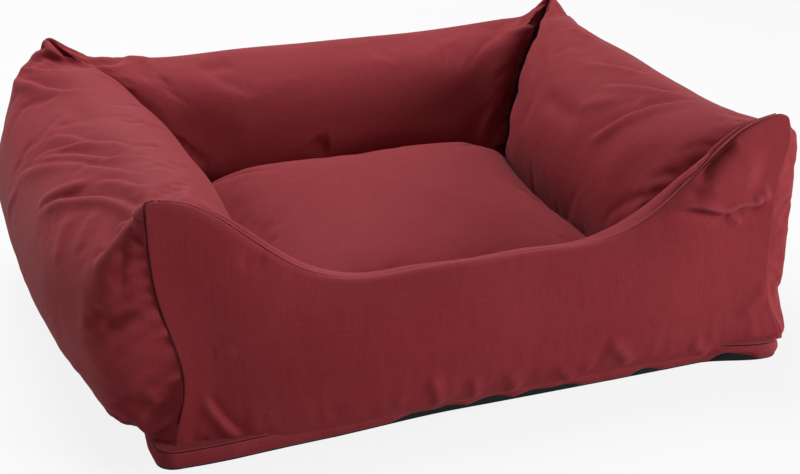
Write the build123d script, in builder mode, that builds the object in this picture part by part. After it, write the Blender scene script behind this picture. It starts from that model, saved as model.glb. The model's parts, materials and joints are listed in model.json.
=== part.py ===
from build123d import *
import math
import os
from collections import namedtuple

os.makedirs("parts", exist_ok=True)

# Pet bed with four stuffed walls on a base mat and a loose, zipped cushion.
# +X is to the right, +Y to the back, +Z up, in millimetres.
# The origin is on the floor, in the middle of the four corner seams.

# Footprint between the corner seams
bed_length = 500
bed_depth = 410

# Cloth and seams
cloth_thickness = 1.2
filling_gap = 0.5
seam_thickness = 2
seam_width = 10
seam_gap = 0.3
seam_proud = 1
cut_overrun = 4

# Base mat
base_height = 15
base_cloth = 1
base_lip = 4
base_bow = 4
base_corner_radius = 14

# Side walls, halfway between their corners, measured inwards from the corner line
side_top_height = 187
side_top_in = 18
side_outer_shoulder = 40
side_bulge = 62
side_bulge_height = 98
side_inner_shoulder = 44
side_belly = 98
side_belly_height = 95
side_foot = 80
right_bulge = 44

# Back wall, halfway
back_top_height = 179
back_top_in = 14
back_outer_shoulder = 36
back_bulge = 50
back_bulge_height = 94
back_inner_shoulder = 40
back_belly = 90
back_belly_height = 92
back_foot = 72

# Front wall, in the low middle of the entry
front_top_height = 122
front_outer_shoulder = 4
front_bulge = 12
front_bulge_height = 66
front_inner_shoulder = 16
front_belly = 45
front_belly_height = 70
front_foot = 42

# Corners, in the plane of the seam, measured inwards like the side walls
back_left_peak = 205
back_right_peak = 197
front_left_peak = 202
front_right_peak = 205
corner_top_in = 6
corner_outer_shoulder = 5
corner_inner_shoulder = 7
corner_bulge = 1
corner_bulge_height = 100
corner_belly = 84
corner_belly_height = 72
corner_foot = 80
tab_width = 9
tab_height = 10

# Cushion
cushion_crown = 112
cushion_seam_height = 54
cushion_band = 18
cushion_clearance = 1.8
cushion_floor_gap = 0.3
cushion_draw_in = 4
cushion_corner_radius = 26
cushion_top_flat = 36
cushion_edge_shoulder = 30
cushion_seam_thickness = 1.6
cushion_seam_proud = 0.8

# Zip in the back edge of the cushion
zip_length = 220
zip_window_height = 10
zip_set_in = 2
tape_thickness = 0.8
tape_reach = 8
tooth_pitch = 2.5
tooth_width = 1.4
tooth_thickness = 2
tooth_tip = 0.7
tooth_root = 2.4
chain_edge = 3.2
stop_length = 3
slider_length = 11
slider_height = 9
slider_plate = 1
slider_neck = 0.8
slider_clearance = 0.3
slider_lip = 0.9
slider_neck_length = 4
channel_margin = 0.6

# Angles, measured down from level, at which a wall's side passes its widest point
upright = 90
corner_lean = 66

# How the stations fan from square to the wall to the plane of the corner seam
fan_power = 1.5
# How fast a wall swells from its corner seams to its full section
swell_power = 3
swell_root = 0.45
# The level part of the entry, and the stations, as shares of the way from mid wall to corner
entry_share = 0.42
station_shares = (-1, -0.92, -0.78, -0.6, -0.4, -0.2, 0, 0.2, 0.4, 0.6, 0.78, 0.92, 1)
# How far the cushion's lower edge turns under, and the even steps of height of its outlines
floor_turn = 65
cushion_levels = 10

Section = namedtuple(
    "Section",
    "top_in top_height outer_shoulder bulge bulge_height outer_foot "
    "inner_shoulder belly belly_height lean foot",
)
Wall = namedtuple("Wall", "middle along inward half_length section first last slopes low_entry")

# Mitre slopes: how far a corner plane runs along the wall for each step inwards
front_slope = front_belly / side_belly
back_slope = 1


def corner_section(peak, depth_share):
    """The pinched section at a corner seam, for a wall that is thinner by a share."""
    return Section(
        corner_top_in * depth_share,
        peak,
        corner_outer_shoulder,
        corner_bulge * depth_share,
        corner_bulge_height,
        0,
        corner_inner_shoulder,
        corner_belly * depth_share,
        corner_belly_height,
        corner_lean,
        corner_foot * depth_share,
    )


side_section = Section(
    side_top_in,
    side_top_height,
    side_outer_shoulder,
    side_bulge,
    side_bulge_height,
    0,
    side_inner_shoulder,
    side_belly,
    side_belly_height,
    upright,
    side_foot,
)
right_section = side_section._replace(bulge=right_bulge)
back_section = Section(
    back_top_in,
    back_top_height,
    back_outer_shoulder,
    back_bulge,
    back_bulge_height,
    0,
    back_inner_shoulder,
    back_belly,
    back_belly_height,
    upright,
    back_foot,
)
front_section = Section(
    corner_top_in * front_slope,
    front_top_height,
    front_outer_shoulder,
    front_bulge,
    front_bulge_height,
    0,
    front_inner_shoulder,
    front_belly,
    front_belly_height,
    upright,
    front_foot,
)

back_wall = Wall(
    Vector(0, bed_depth / 2),
    Vector(1, 0),
    Vector(0, -1),
    bed_length / 2,
    back_section,
    corner_section(back_left_peak, back_slope),
    corner_section(back_right_peak, back_slope),
    (back_slope, back_slope),
    False,
)
left_wall = Wall(
    Vector(-bed_length / 2, 0),
    Vector(0, 1),
    Vector(1, 0),
    bed_depth / 2,
    side_section,
    corner_section(front_left_peak, 1),
    corner_section(back_left_peak, back_slope),
    (front_slope, back_slope),
    False,
)
right_wall = Wall(
    Vector(bed_length / 2, 0),
    Vector(0, 1),
    Vector(-1, 0),
    bed_depth / 2,
    right_section,
    corner_section(front_right_peak, 1),
    corner_section(back_right_peak, back_slope),
    (front_slope, back_slope),
    False,
)
front_wall = Wall(
    Vector(0, -bed_depth / 2),
    Vector(1, 0),
    Vector(0, 1),
    bed_length / 2,
    front_section,
    corner_section(front_left_peak, front_slope),
    corner_section(front_right_peak, front_slope),
    (1 / front_slope, 1 / front_slope),
    True,
)


def end_share(wall, share):
    """How much of the corner section a station takes, from 0 at mid wall to 1 at the corner."""
    reach = abs(share)
    if wall.low_entry:
        rise = max(0, (reach - entry_share) / (1 - entry_share))
        return rise * rise * (3 - 2 * rise)
    return 1 - (1 - reach**swell_power) ** swell_root


def station(wall, share):
    """The plane of one station, its section, and its stretch along the slanted plane."""
    near, slope = (wall.last, wall.slopes[1]) if share > 0 else (wall.first, wall.slopes[0])
    mitre_gap = (seam_thickness / 2 + seam_gap) * math.hypot(1, slope)
    fan = math.copysign(abs(share) ** fan_power, share) * slope
    slant = wall.inward - wall.along * fan
    origin = wall.middle + wall.along * share * (wall.half_length - mitre_gap)
    plane = Plane(origin=origin, x_dir=slant, z_dir=slant.cross(Vector(0, 0, 1)))
    mix = end_share(wall, share)
    section = Section(*(own + (end - own) * mix for own, end in zip(wall.section, near)))
    return plane, section, slant.length


def side_joints(section, stretch, side, depth, top_shift):
    """Top, shoulder joint, widest point and foot of one side, moved inwards by a depth."""
    # Across a slanted plane the same depth of cloth looks wider
    inset = depth * (1 + stretch) / 2
    if side > 0:
        widest, height, foot = section.belly, section.belly_height, section.foot
        shoulder, lean = section.inner_shoulder, math.radians(section.lean)
    else:
        widest, height, foot = -section.bulge, section.bulge_height, section.outer_foot
        shoulder, lean = section.outer_shoulder, math.radians(upright)
    top = Vector(section.top_in * stretch + side * top_shift, section.top_height)
    reach = abs(widest * stretch - top.X)
    drop = section.top_height - height
    # The flank arc's centre lies where it touches the shoulder arc inside
    normal = Vector(-math.sin(lean), math.cos(lean))
    span = Vector(reach, drop - shoulder)
    flank = (shoulder**2 - span.dot(span)) / (2 * (span.dot(normal) + shoulder))
    centre = Vector(reach, drop) + normal * flank
    joint = centre + (Vector(0, shoulder) - centre) * ((flank - inset) / (flank - shoulder))
    flank_end = Vector(reach, drop) + normal * inset
    points = [Vector(0, inset), joint, flank_end]
    places = [Vector(top.X + side * point.X, top.Y - point.Y) for point in points]
    places.append(Vector(foot * stretch - side * inset, 0))
    return places


def draw_side(section, stretch, side, depth, floor, top_shift=0):
    """Three arcs from the top of the section down one side to the floor."""
    top, joint, widest, foot = side_joints(section, stretch, side, depth, top_shift)
    shoulder_arc = TangentArc(top, joint, tangent=(side, 0))
    flank_arc = TangentArc(joint, widest, tangent=shoulder_arc % 1)
    foot_arc = TangentArc(widest, (foot.X, floor), tangent=flank_arc % 1)
    return top, foot_arc @ 1


def filling_faces(wall):
    """Sections of the stuffing."""
    faces = []
    depth = cloth_thickness + filling_gap
    for share in station_shares:
        plane, section, stretch = station(wall, share)
        with BuildSketch(plane) as outline:
            with BuildLine():
                _, inner_foot = draw_side(section, stretch, 1, depth, base_height + seam_gap)
                _, outer_foot = draw_side(section, stretch, -1, depth, base_height + seam_gap)
                Line(inner_foot, outer_foot)
            make_face()
        faces.append(outline.sketch.face())
    return faces


def cover_faces(wall):
    """Sections of a cover that runs over the top from the outer to the inner foot."""
    faces = []
    for share in station_shares:
        plane, section, stretch = station(wall, share)
        with BuildSketch(plane) as outline:
            with BuildLine():
                for side in (1, -1):
                    _, outside = draw_side(section, stretch, side, 0, base_height)
                    _, inside = draw_side(section, stretch, side, cloth_thickness, base_height)
                    Line(outside, inside)
            make_face()
        faces.append(outline.sketch.face())
    return faces


def panel_faces(wall, side):
    """Sections of one front panel, which ends beside the seam on top."""
    faces = []
    for share in station_shares:
        plane, section, stretch = station(wall, share)
        shift = (seam_thickness / 2 + seam_gap) * stretch
        with BuildSketch(plane) as outline:
            with BuildLine():
                outer_top, outside = draw_side(section, stretch, side, 0, base_height, shift)
                inner_top, inside = draw_side(
                    section, stretch, side, cloth_thickness, base_height, shift
                )
                Line(outside, inside)
                Line(outer_top, inner_top)
            make_face()
        faces.append(outline.sketch.face())
    return faces


def top_edge_points(wall, rise):
    """Points along the wall's top edge, seen square to the wall and raised by a height."""
    points = []
    for share in station_shares:
        plane, section, stretch = station(wall, share)
        place = plane.from_local_coords((section.top_in * stretch, section.top_height + rise))
        # The ends step back from the slanted corner seams
        step_back = int(share) * seam_thickness * wall.slopes[0] / 2
        points.append((place.dot(wall.along) - step_back, place.Z))
    return points


def corner_plane(side, end):
    """The upright plane of one face of a corner seam, from the outer corner inwards."""
    slope = back_slope if end > 0 else front_slope
    outer = Vector(side * bed_length / 2, end * bed_depth / 2)
    slant = Vector(-side, -end * slope)
    middle = Plane(origin=outer, x_dir=slant, z_dir=slant.cross(Vector(0, 0, 1)))
    return middle.offset(-seam_thickness / 2), slant.length


def crevice_height(section, stretch, along):
    """Height of the inner edge of a corner's seam allowance, some way along its plane."""
    top = section.top_in * stretch
    slope = (section.top_height - section.belly_height) / (section.belly * stretch - top)
    return section.top_height - (along - top) * slope - seam_width * math.hypot(1, slope)


def base_outline(inset):
    """The mat's outline, with bowed sides and round corners, moved inwards by the inset."""
    half_x = bed_length / 2 + base_lip - inset
    half_y = bed_depth / 2 + base_lip - inset
    with BuildSketch() as outline:
        with BuildLine():
            ThreePointArc((-half_x, -half_y), (0, -half_y - base_bow), (half_x, -half_y))
            ThreePointArc((half_x, -half_y), (half_x + base_bow, 0), (half_x, half_y))
            ThreePointArc((half_x, half_y), (0, half_y + base_bow), (-half_x, half_y))
            ThreePointArc((-half_x, half_y), (-half_x - base_bow, 0), (-half_x, -half_y))
        make_face()
        fillet(outline.vertices(), radius=base_corner_radius - inset)
    return outline.sketch.face()


# Base mat
pad_bottom = base_cloth
pad_top = base_height - base_cloth
with BuildPart() as base_underside:
    add(base_outline(0))
    extrude(amount=base_cloth)
base_underside.part.label = "base_underside"
export_step(base_underside.part, "parts/base_underside.step")

with BuildPart() as base_pad_core:
    with BuildSketch(Plane.XY.offset(pad_bottom)):
        add(base_outline(base_cloth + seam_gap))
    extrude(amount=pad_top - pad_bottom)
base_pad_core.part.label = "base_pad_core"
export_step(base_pad_core.part, "parts/base_pad_core.step")

with BuildPart() as base_edge_band:
    with BuildSketch(Plane.XY.offset(pad_bottom)):
        add(base_outline(0))
        add(base_outline(base_cloth), mode=Mode.SUBTRACT)
    extrude(amount=pad_top - pad_bottom)
base_edge_band.part.label = "base_edge_band"
export_step(base_edge_band.part, "parts/base_edge_band.step")

with BuildPart() as base_top_cloth:
    with BuildSketch(Plane.XY.offset(pad_top)):
        add(base_outline(0))
    extrude(amount=base_cloth)
base_top_cloth.part.label = "base_top_cloth"
export_step(base_top_cloth.part, "parts/base_top_cloth.step")

# Walls: a cover and a filling each
walls = {
    "back_wall": back_wall,
    "left_wall": left_wall,
    "right_wall": right_wall,
    "front_wall": front_wall,
}
for wall_name, wall in walls.items():
    with BuildPart() as wall_filling:
        loft(filling_faces(wall))
    wall_filling.part.label = f"{wall_name}_filling"
    export_step(wall_filling.part, f"parts/{wall_name}_filling.step")

for wall_name in ("back_wall", "left_wall", "right_wall"):
    with BuildPart() as wall_cover:
        loft(cover_faces(walls[wall_name]))
    wall_cover.part.label = f"{wall_name}_cover"
    export_step(wall_cover.part, f"parts/{wall_name}_cover.step")

# Front wall: an outer and an inner panel, joined by a seam along the top edge
for panel_name, panel_side in (("front_outer_panel", -1), ("front_inner_panel", 1)):
    with BuildPart() as front_panel:
        loft(panel_faces(front_wall, panel_side))
    front_panel.part.label = panel_name
    export_step(front_panel.part, f"parts/{panel_name}.step")

seam_in = front_section.top_in + seam_thickness / 2
with BuildPart() as front_top_seam:
    with BuildSketch(Plane.XZ.offset(bed_depth / 2 - seam_in)):
        with BuildLine():
            ridge = Spline(top_edge_points(front_wall, seam_proud))
            root = Spline(top_edge_points(front_wall, -cloth_thickness))
            Line(ridge @ 0, root @ 0)
            Line(ridge @ 1, root @ 1)
        make_face()
    extrude(amount=seam_thickness)
front_top_seam.part.label = "front_top_seam"
export_step(front_top_seam.part, "parts/front_top_seam.step")

# Corner seams
corners = (
    ("front_left", -1, -1, front_left_peak, True),
    ("front_right", 1, -1, front_right_peak, False),
    ("back_left", -1, 1, back_left_peak, False),
    ("back_right", 1, 1, back_right_peak, False),
)
for corner_name, corner_side, corner_end, corner_peak, has_tab in corners:
    seam_plane, seam_stretch = corner_plane(corner_side, corner_end)
    pinched = corner_section(corner_peak, 1)
    low_edge = pinched.belly * seam_stretch - seam_width
    with BuildPart() as corner_seam:
        with BuildSketch(seam_plane):
            with BuildLine():
                _, seam_foot = draw_side(pinched, seam_stretch, 1, -seam_proud, base_height)
                _, outer_foot = draw_side(pinched, seam_stretch, -1, -seam_proud, base_height)
                Line(seam_foot, outer_foot)
            make_face()
            if has_tab:
                with Locations((pinched.top_in * seam_stretch, corner_peak)):
                    Rectangle(
                        pinched.top_in * seam_stretch + tab_width,
                        tab_height,
                        align=(Align.MAX, Align.MAX),
                    )
            with BuildLine():
                Polyline(
                    (seam_width, base_height - cut_overrun),
                    (seam_width, crevice_height(pinched, seam_stretch, seam_width)),
                    (low_edge, crevice_height(pinched, seam_stretch, low_edge)),
                    (pinched.foot * seam_stretch - seam_width, base_height - cut_overrun),
                    close=True,
                )
            make_face(mode=Mode.SUBTRACT)
        extrude(amount=seam_thickness)
    corner_seam.part.label = f"{corner_name}_corner_seam"
    export_step(corner_seam.part, f"parts/{corner_name}_corner_seam.step")

# Cushion: it fills the well between the widest points of the walls
cushion_half_length = bed_length / 2 - side_belly - cushion_clearance + cushion_draw_in
cushion_back = bed_depth / 2 - back_belly - cushion_clearance
cushion_front = -bed_depth / 2 + front_belly + cushion_clearance - cushion_draw_in / 2
cushion_bottom = base_height + cushion_floor_gap
band_bottom = cushion_seam_height - cushion_band / 2
band_top = cushion_seam_height + cushion_band / 2
band_to_floor = band_bottom - cushion_bottom
band_to_crown = cushion_crown - band_top
# The crown arc spans the shorter way, runs level at the middle and touches the edge's shoulder arc
crown_reach = min(cushion_half_length, (cushion_back - cushion_front) / 2)
crown_radius = (
    crown_reach**2 + band_to_crown**2 - 2 * crown_reach * cushion_edge_shoulder
) / (2 * (band_to_crown - cushion_edge_shoulder))
joint_rise = (
    cushion_edge_shoulder
    * (crown_radius - band_to_crown)
    / (crown_radius - cushion_edge_shoulder)
)
lower_radius = band_to_floor / math.sin(math.radians(floor_turn))


def cushion_outline(height, inset):
    """The cushion's outline at one height: straight at the back, drawn in on three sides."""
    half_x = cushion_half_length - inset
    back = cushion_back - inset
    front = cushion_front + inset
    middle = (back + front) / 2
    with BuildSketch(Plane.XY.offset(height)) as outline:
        with BuildLine():
            Line((-half_x, back), (half_x, back))
            ThreePointArc((half_x, back), (half_x - cushion_draw_in, middle), (half_x, front))
            ThreePointArc((half_x, front), (0, front + cushion_draw_in / 2), (-half_x, front))
            ThreePointArc((-half_x, front), (cushion_draw_in - half_x, middle), (-half_x, back))
        make_face()
        # The corners stay round on the small outlines near the crown
        narrow_side = min(2 * half_x, back - front)
        fillet(outline.vertices(), radius=min(cushion_corner_radius, narrow_side / 3))
    return outline.sketch.face()


def cushion_top_faces(inset):
    """Outlines from the edge band over the shoulder to the flat of the crown."""
    faces = []
    shoulder = cushion_edge_shoulder - inset
    crown = crown_radius - inset
    full_rise = band_to_crown - crown_radius + math.sqrt(crown**2 - cushion_top_flat**2)
    for level in range(cushion_levels + 1):
        rise = full_rise * level / cushion_levels
        if rise < joint_rise:
            step_in = cushion_edge_shoulder - math.sqrt(shoulder**2 - rise**2)
        else:
            below = crown_radius - band_to_crown + rise
            step_in = crown_reach - math.sqrt(crown**2 - below**2)
        faces.append(cushion_outline(band_top + rise, step_in))
    return faces


def cushion_bottom_faces(inset):
    """Outlines from the edge band down to the flat underside."""
    faces = []
    radius = lower_radius - inset
    for level in range(cushion_levels + 1):
        fall = (band_to_floor - inset) * level / cushion_levels
        step_in = lower_radius - math.sqrt(radius**2 - fall**2)
        faces.append(cushion_outline(band_bottom - fall, step_in))
    return faces


with BuildPart() as zip_window:
    with Locations((0, cushion_back, cushion_seam_height)):
        Box(zip_length + 2 * (stop_length + channel_margin), cut_overrun, zip_window_height)

half_seam = cushion_seam_thickness / 2
with BuildPart() as cushion_top_panel:
    add(cushion_outline(cushion_seam_height + half_seam, 0))
    extrude(amount=cushion_band / 2 - half_seam)
    loft(cushion_top_faces(0), ruled=True)
    add(cushion_outline(cushion_seam_height + half_seam, cloth_thickness))
    extrude(amount=cushion_band / 2 - half_seam, mode=Mode.SUBTRACT)
    loft(cushion_top_faces(cloth_thickness), ruled=True, mode=Mode.SUBTRACT)
    add(zip_window.part, mode=Mode.SUBTRACT)
cushion_top_panel.part.label = "cushion_top_panel"
export_step(cushion_top_panel.part, "parts/cushion_top_panel.step")

with BuildPart() as cushion_bottom_panel:
    add(cushion_outline(cushion_seam_height - half_seam, 0))
    extrude(amount=half_seam - cushion_band / 2)
    loft(cushion_bottom_faces(0), ruled=True)
    add(cushion_outline(cushion_seam_height - half_seam, cloth_thickness))
    extrude(amount=half_seam - cushion_band / 2, mode=Mode.SUBTRACT)
    loft(cushion_bottom_faces(cloth_thickness), ruled=True, mode=Mode.SUBTRACT)
    add(zip_window.part, mode=Mode.SUBTRACT)
cushion_bottom_panel.part.label = "cushion_bottom_panel"
export_step(cushion_bottom_panel.part, "parts/cushion_bottom_panel.step")

with BuildPart() as cushion_edge_seam:
    add(cushion_outline(cushion_seam_height, -cushion_seam_proud))
    extrude(amount=half_seam, both=True)
    add(cushion_outline(cushion_seam_height, cloth_thickness))
    extrude(amount=half_seam, both=True, mode=Mode.SUBTRACT)
    add(zip_window.part, mode=Mode.SUBTRACT)
cushion_edge_seam.part.label = "cushion_edge_seam"
export_step(cushion_edge_seam.part, "parts/cushion_edge_seam.step")

# The zip lies in an upright plane just inside the cushion's back edge
zip_plane = Plane(
    origin=(0, cushion_back - zip_set_in, cushion_seam_height), x_dir=(1, 0, 0), z_dir=(0, -1, 0)
)
slider_thickness = tooth_thickness + 2 * (slider_clearance + slider_plate)
zip_half = zip_length / 2

with BuildPart() as cushion_filling:
    filling_inset = cloth_thickness + filling_gap
    add(cushion_outline(band_bottom, filling_inset))
    extrude(amount=cushion_band)
    loft(cushion_top_faces(filling_inset), ruled=True)
    loft(cushion_bottom_faces(filling_inset), ruled=True)
    with BuildSketch(zip_plane):
        Rectangle(
            zip_length + 2 * (stop_length + channel_margin), 2 * (tape_reach + channel_margin)
        )
    extrude(amount=slider_thickness / 2 + channel_margin, both=True, mode=Mode.SUBTRACT)
cushion_filling.part.label = "cushion_filling"
export_step(cushion_filling.part, "parts/cushion_filling.step")

for row_name, row_side, row_shift in (("upper", 1, 0), ("lower", -1, tooth_pitch / 2)):
    with BuildPart() as zip_tape:
        with BuildSketch(zip_plane):
            with Locations((0, row_side * (chain_edge + tape_reach) / 2)):
                Rectangle(zip_length + 2 * stop_length, tape_reach - chain_edge)
        extrude(amount=tape_thickness / 2, both=True)
    zip_tape.part.label = f"zip_tape_{row_name}"
    export_step(zip_tape.part, f"parts/zip_tape_{row_name}.step")

    tooth_count = int((zip_length - tooth_pitch) / tooth_pitch)
    with BuildPart() as zip_teeth:
        with BuildSketch(zip_plane):
            with Locations((0, row_side * (tooth_root + chain_edge) / 2)):
                Rectangle(zip_length, chain_edge - tooth_root)
            with Locations((row_shift - tooth_pitch / 4, row_side * (tooth_tip + tooth_root) / 2)):
                with GridLocations(tooth_pitch, 0, tooth_count, 1):
                    Rectangle(tooth_width, tooth_root - tooth_tip)
        extrude(amount=tooth_thickness / 2, both=True)
    zip_teeth.part.label = f"zip_teeth_{row_name}"
    export_step(zip_teeth.part, f"parts/zip_teeth_{row_name}.step")

with BuildPart() as zip_end_stops:
    with BuildSketch(zip_plane):
        with Locations((-zip_half - stop_length / 2, 0), (zip_half + stop_length / 2, 0)):
            Rectangle(stop_length - 2 * slider_clearance, 2 * chain_edge)
    extrude(amount=tooth_thickness / 2, both=True)
zip_end_stops.part.label = "zip_end_stops"
export_step(zip_end_stops.part, "parts/zip_end_stops.step")

# The slider rests at the closed end. A thin neck between the rows joins its two plates.
slider_rest = zip_half - slider_length / 2 - slider_clearance
slot_height = tape_thickness + 2 * slider_clearance
with BuildPart() as zip_slider:
    with Locations(zip_plane):
        with Locations((slider_rest, 0, 0)):
            Box(slider_length, slider_height, slider_thickness)
            fillet(zip_slider.edges().filter_by(Axis.Y), radius=slider_lip)
            Box(
                slider_length + cut_overrun,
                slider_height - 2 * slider_lip,
                tooth_thickness + 2 * slider_clearance,
                mode=Mode.SUBTRACT,
            )
            Box(
                slider_length + cut_overrun,
                slider_height + cut_overrun,
                slot_height,
                mode=Mode.SUBTRACT,
            )
            Box(slider_neck_length, slider_neck, slider_thickness - slider_plate)
zip_slider.part.label = "zip_slider"
export_step(zip_slider.part, "parts/zip_slider.step")
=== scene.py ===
"""Looks of a pet bed: stuffed canvas walls round a base mat, with a loose zipped cushion.

Lengths are millimetres while a form is worked out, and metres once it is a mesh.
"""

import json
import logging
import math
from dataclasses import dataclass, field
from enum import Enum

import bmesh
import bpy
import numpy as np
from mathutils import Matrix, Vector

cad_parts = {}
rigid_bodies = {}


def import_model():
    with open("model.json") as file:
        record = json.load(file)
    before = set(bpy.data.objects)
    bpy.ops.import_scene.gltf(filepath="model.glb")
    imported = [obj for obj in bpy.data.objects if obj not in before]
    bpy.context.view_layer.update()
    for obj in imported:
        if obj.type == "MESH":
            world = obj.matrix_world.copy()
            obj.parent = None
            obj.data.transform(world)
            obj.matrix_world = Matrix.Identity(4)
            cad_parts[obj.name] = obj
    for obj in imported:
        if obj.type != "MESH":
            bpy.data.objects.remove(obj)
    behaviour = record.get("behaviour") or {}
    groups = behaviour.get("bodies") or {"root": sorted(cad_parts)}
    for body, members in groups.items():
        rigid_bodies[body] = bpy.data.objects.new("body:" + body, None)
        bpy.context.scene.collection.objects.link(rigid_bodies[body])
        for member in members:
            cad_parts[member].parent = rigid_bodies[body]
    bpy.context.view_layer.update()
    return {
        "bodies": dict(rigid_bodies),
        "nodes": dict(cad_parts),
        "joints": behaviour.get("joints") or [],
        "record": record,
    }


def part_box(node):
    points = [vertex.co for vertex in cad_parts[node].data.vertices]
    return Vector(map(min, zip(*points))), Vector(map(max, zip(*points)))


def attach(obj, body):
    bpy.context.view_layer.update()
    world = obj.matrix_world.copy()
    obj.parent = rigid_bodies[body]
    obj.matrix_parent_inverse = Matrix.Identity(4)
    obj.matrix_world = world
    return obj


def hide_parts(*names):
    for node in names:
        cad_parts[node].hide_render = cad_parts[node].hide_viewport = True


log = logging.getLogger("pet_bed")

Array = np.ndarray
Object = bpy.types.Object
Material = bpy.types.Material
Socket = bpy.types.NodeSocket
Pair = tuple[float, float]
Triple = tuple[float, float, float]

MM = 0.001
BED = "bed"
CUSHION = "cushion"

BED_LENGTH = 500.0
BED_DEPTH = 410.0
BASE_HEIGHT = 15.0
CLOTH = 1.2
SEAM_HALF = 0.5
FOOT_LOW = 5.0
ZIP_WINDOW = 113.5


class FoldShape(Enum):
    """How the cloth rises or sinks across a fold line."""

    ROUND = "round"
    STEP = "step"
    TUCK = "tuck"


class Slot(Enum):
    """The record's material slots."""

    CANVAS = "red_canvas"
    SEAM = "red_seam"
    TAPE = "zip_tape"
    PLASTIC = "zip_plastic"
    UNDERSIDE = "black_underside"


# The forms of the cloth, in millimetres.


@dataclass(frozen=True)
class Section:
    """A wall's section, measured inwards from the corner line and upwards from the floor."""

    top_in: float
    top_height: float
    outer_shoulder: float
    bulge: float
    bulge_height: float
    inner_shoulder: float
    belly: float
    belly_height: float
    lean: float
    foot: float

    def mixed(self, other: "Section", share: float) -> "Section":
        """The section that lies a share of the way to another one."""
        names = self.__dataclass_fields__
        return Section(
            *(getattr(self, n) + (getattr(other, n) - getattr(self, n)) * share for n in names)
        )


def corner_section(peak: float, depth_share: float) -> Section:
    """The pinched section at a corner seam.

    Args:
        peak: Height of the corner.
        depth_share: Depth of the wall there, as a share of a side wall's.

    Returns:
        The section in the plane square to the wall.
    """
    return Section(
        6 * depth_share, peak, 5, depth_share, 100, 7, 84 * depth_share, 72, 66, 80 * depth_share
    )


def tangent_arc(start: Array, end: Array, tangent: Array, count: int) -> tuple[Array, Array]:
    """Points of the arc that leaves its start along a tangent.

    Args:
        start: First point.
        end: Last point.
        tangent: Unit direction at the start.
        count: Number of points, the start not among them.

    Returns:
        The points, and the unit direction at the end.
    """
    chord = end - start
    normal = np.array((-tangent[1], tangent[0]))
    turn = 2 * math.atan2(chord @ normal, chord @ tangent)
    if abs(turn) < 1e-6:
        return start + chord * np.linspace(0, 1, count + 1)[1:, None], tangent
    radius = (chord @ chord) / (2 * (chord @ normal))
    centre = start + normal * radius
    angles = np.linspace(0, turn, count + 1)[1:]
    arm = start - centre
    cos, sin = np.cos(angles), np.sin(angles)
    points = centre + np.stack((cos * arm[0] - sin * arm[1], sin * arm[0] + cos * arm[1]), 1)
    cos, sin = math.cos(turn), math.sin(turn)
    last = (cos * tangent[0] - sin * tangent[1], sin * tangent[0] + cos * tangent[1])
    return points, np.array(last)


def travel_along(line: Array) -> Array:
    """Distance from the start of a polyline at each of its points."""
    return np.concatenate(((0,), np.cumsum(np.linalg.norm(np.diff(line, axis=0), axis=1))))


def travel_from_end(points: Array) -> Array:
    """Distance from the first row of a grid at each of its points."""
    steps = np.linalg.norm(np.diff(points, axis=0), axis=2)
    return np.concatenate((np.zeros((1, steps.shape[1])), np.cumsum(steps, 0)))


def even_steps(points: Array, count: int) -> Array:
    """A polyline's points, spaced evenly along its length.

    Args:
        points: The polyline.
        count: Number of points wanted.

    Returns:
        The evenly spaced points.
    """
    lengths = travel_along(points)
    at = np.linspace(0, lengths[-1], count)
    return np.stack([np.interp(at, lengths, points[:, k]) for k in range(points.shape[1])], 1)


def spline_between(knots: Array, values: Array, at: Array) -> Array:
    """A natural cubic spline through values at knots.

    Args:
        knots: Rising places of the values.
        values: One array for each knot.
        at: Places to read the spline at.

    Returns:
        One array for each place.
    """
    flat = values.reshape(len(knots), -1)
    gaps = np.diff(knots)
    count = len(knots)
    matrix = np.eye(count)
    right = np.zeros_like(flat)
    for k in range(1, count - 1):
        matrix[k, k - 1 : k + 2] = (gaps[k - 1], 2 * (gaps[k - 1] + gaps[k]), gaps[k])
        rise = (flat[k + 1] - flat[k]) / gaps[k] - (flat[k] - flat[k - 1]) / gaps[k - 1]
        right[k] = 6 * rise
    bends = np.linalg.solve(matrix, right)
    cell = np.clip(np.searchsorted(knots, at) - 1, 0, count - 2)
    gap = gaps[cell][:, None]
    before = (knots[cell + 1] - at)[:, None]
    after = (at - knots[cell])[:, None]
    low, high = bends[cell], bends[cell + 1]
    result = (
        low * before**3 / (6 * gap)
        + high * after**3 / (6 * gap)
        + (flat[cell] / gap - low * gap / 6) * before
        + (flat[cell + 1] / gap - high * gap / 6) * after
    )
    return result.reshape((len(at),) + values.shape[1:])


def grid_normals(points: Array) -> Array:
    """Unit normals of a grid of points, along the cross product of its two directions."""
    normals = np.cross(np.gradient(points, axis=0), np.gradient(points, axis=1))
    return normals / np.maximum(np.linalg.norm(normals, axis=2, keepdims=True), 1e-9)


def smooth_step(values: Array, start: float, end: float) -> Array:
    """0 before the start, 1 past the end and a smooth rise between."""
    t = np.clip((values - start) / (end - start), 0, 1)
    return t * t * (3 - 2 * t)


def neighbour_mean(padded: Array) -> Array:
    """The mean of the four neighbours of each point of a grid that is padded by one row."""
    return (padded[:-2, 1:-1] + padded[2:, 1:-1] + padded[1:-1, :-2] + padded[1:-1, 2:]) / 4


def small_waves(travel: Array, lengths: tuple[int, ...], rng: np.random.Generator) -> Array:
    """A sum of waves along a line, each with a random phase and height.

    Args:
        travel: Distance along the line at each place.
        lengths: Lengths of the waves.
        rng: Source of the phases and heights.

    Returns:
        A height for each place.
    """
    wave = np.zeros_like(travel)
    for length in lengths:
        wave += np.sin(travel * 2 * math.pi / length + rng.uniform(0, 6.28)) * rng.uniform(0.4, 1)
    return wave


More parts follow.
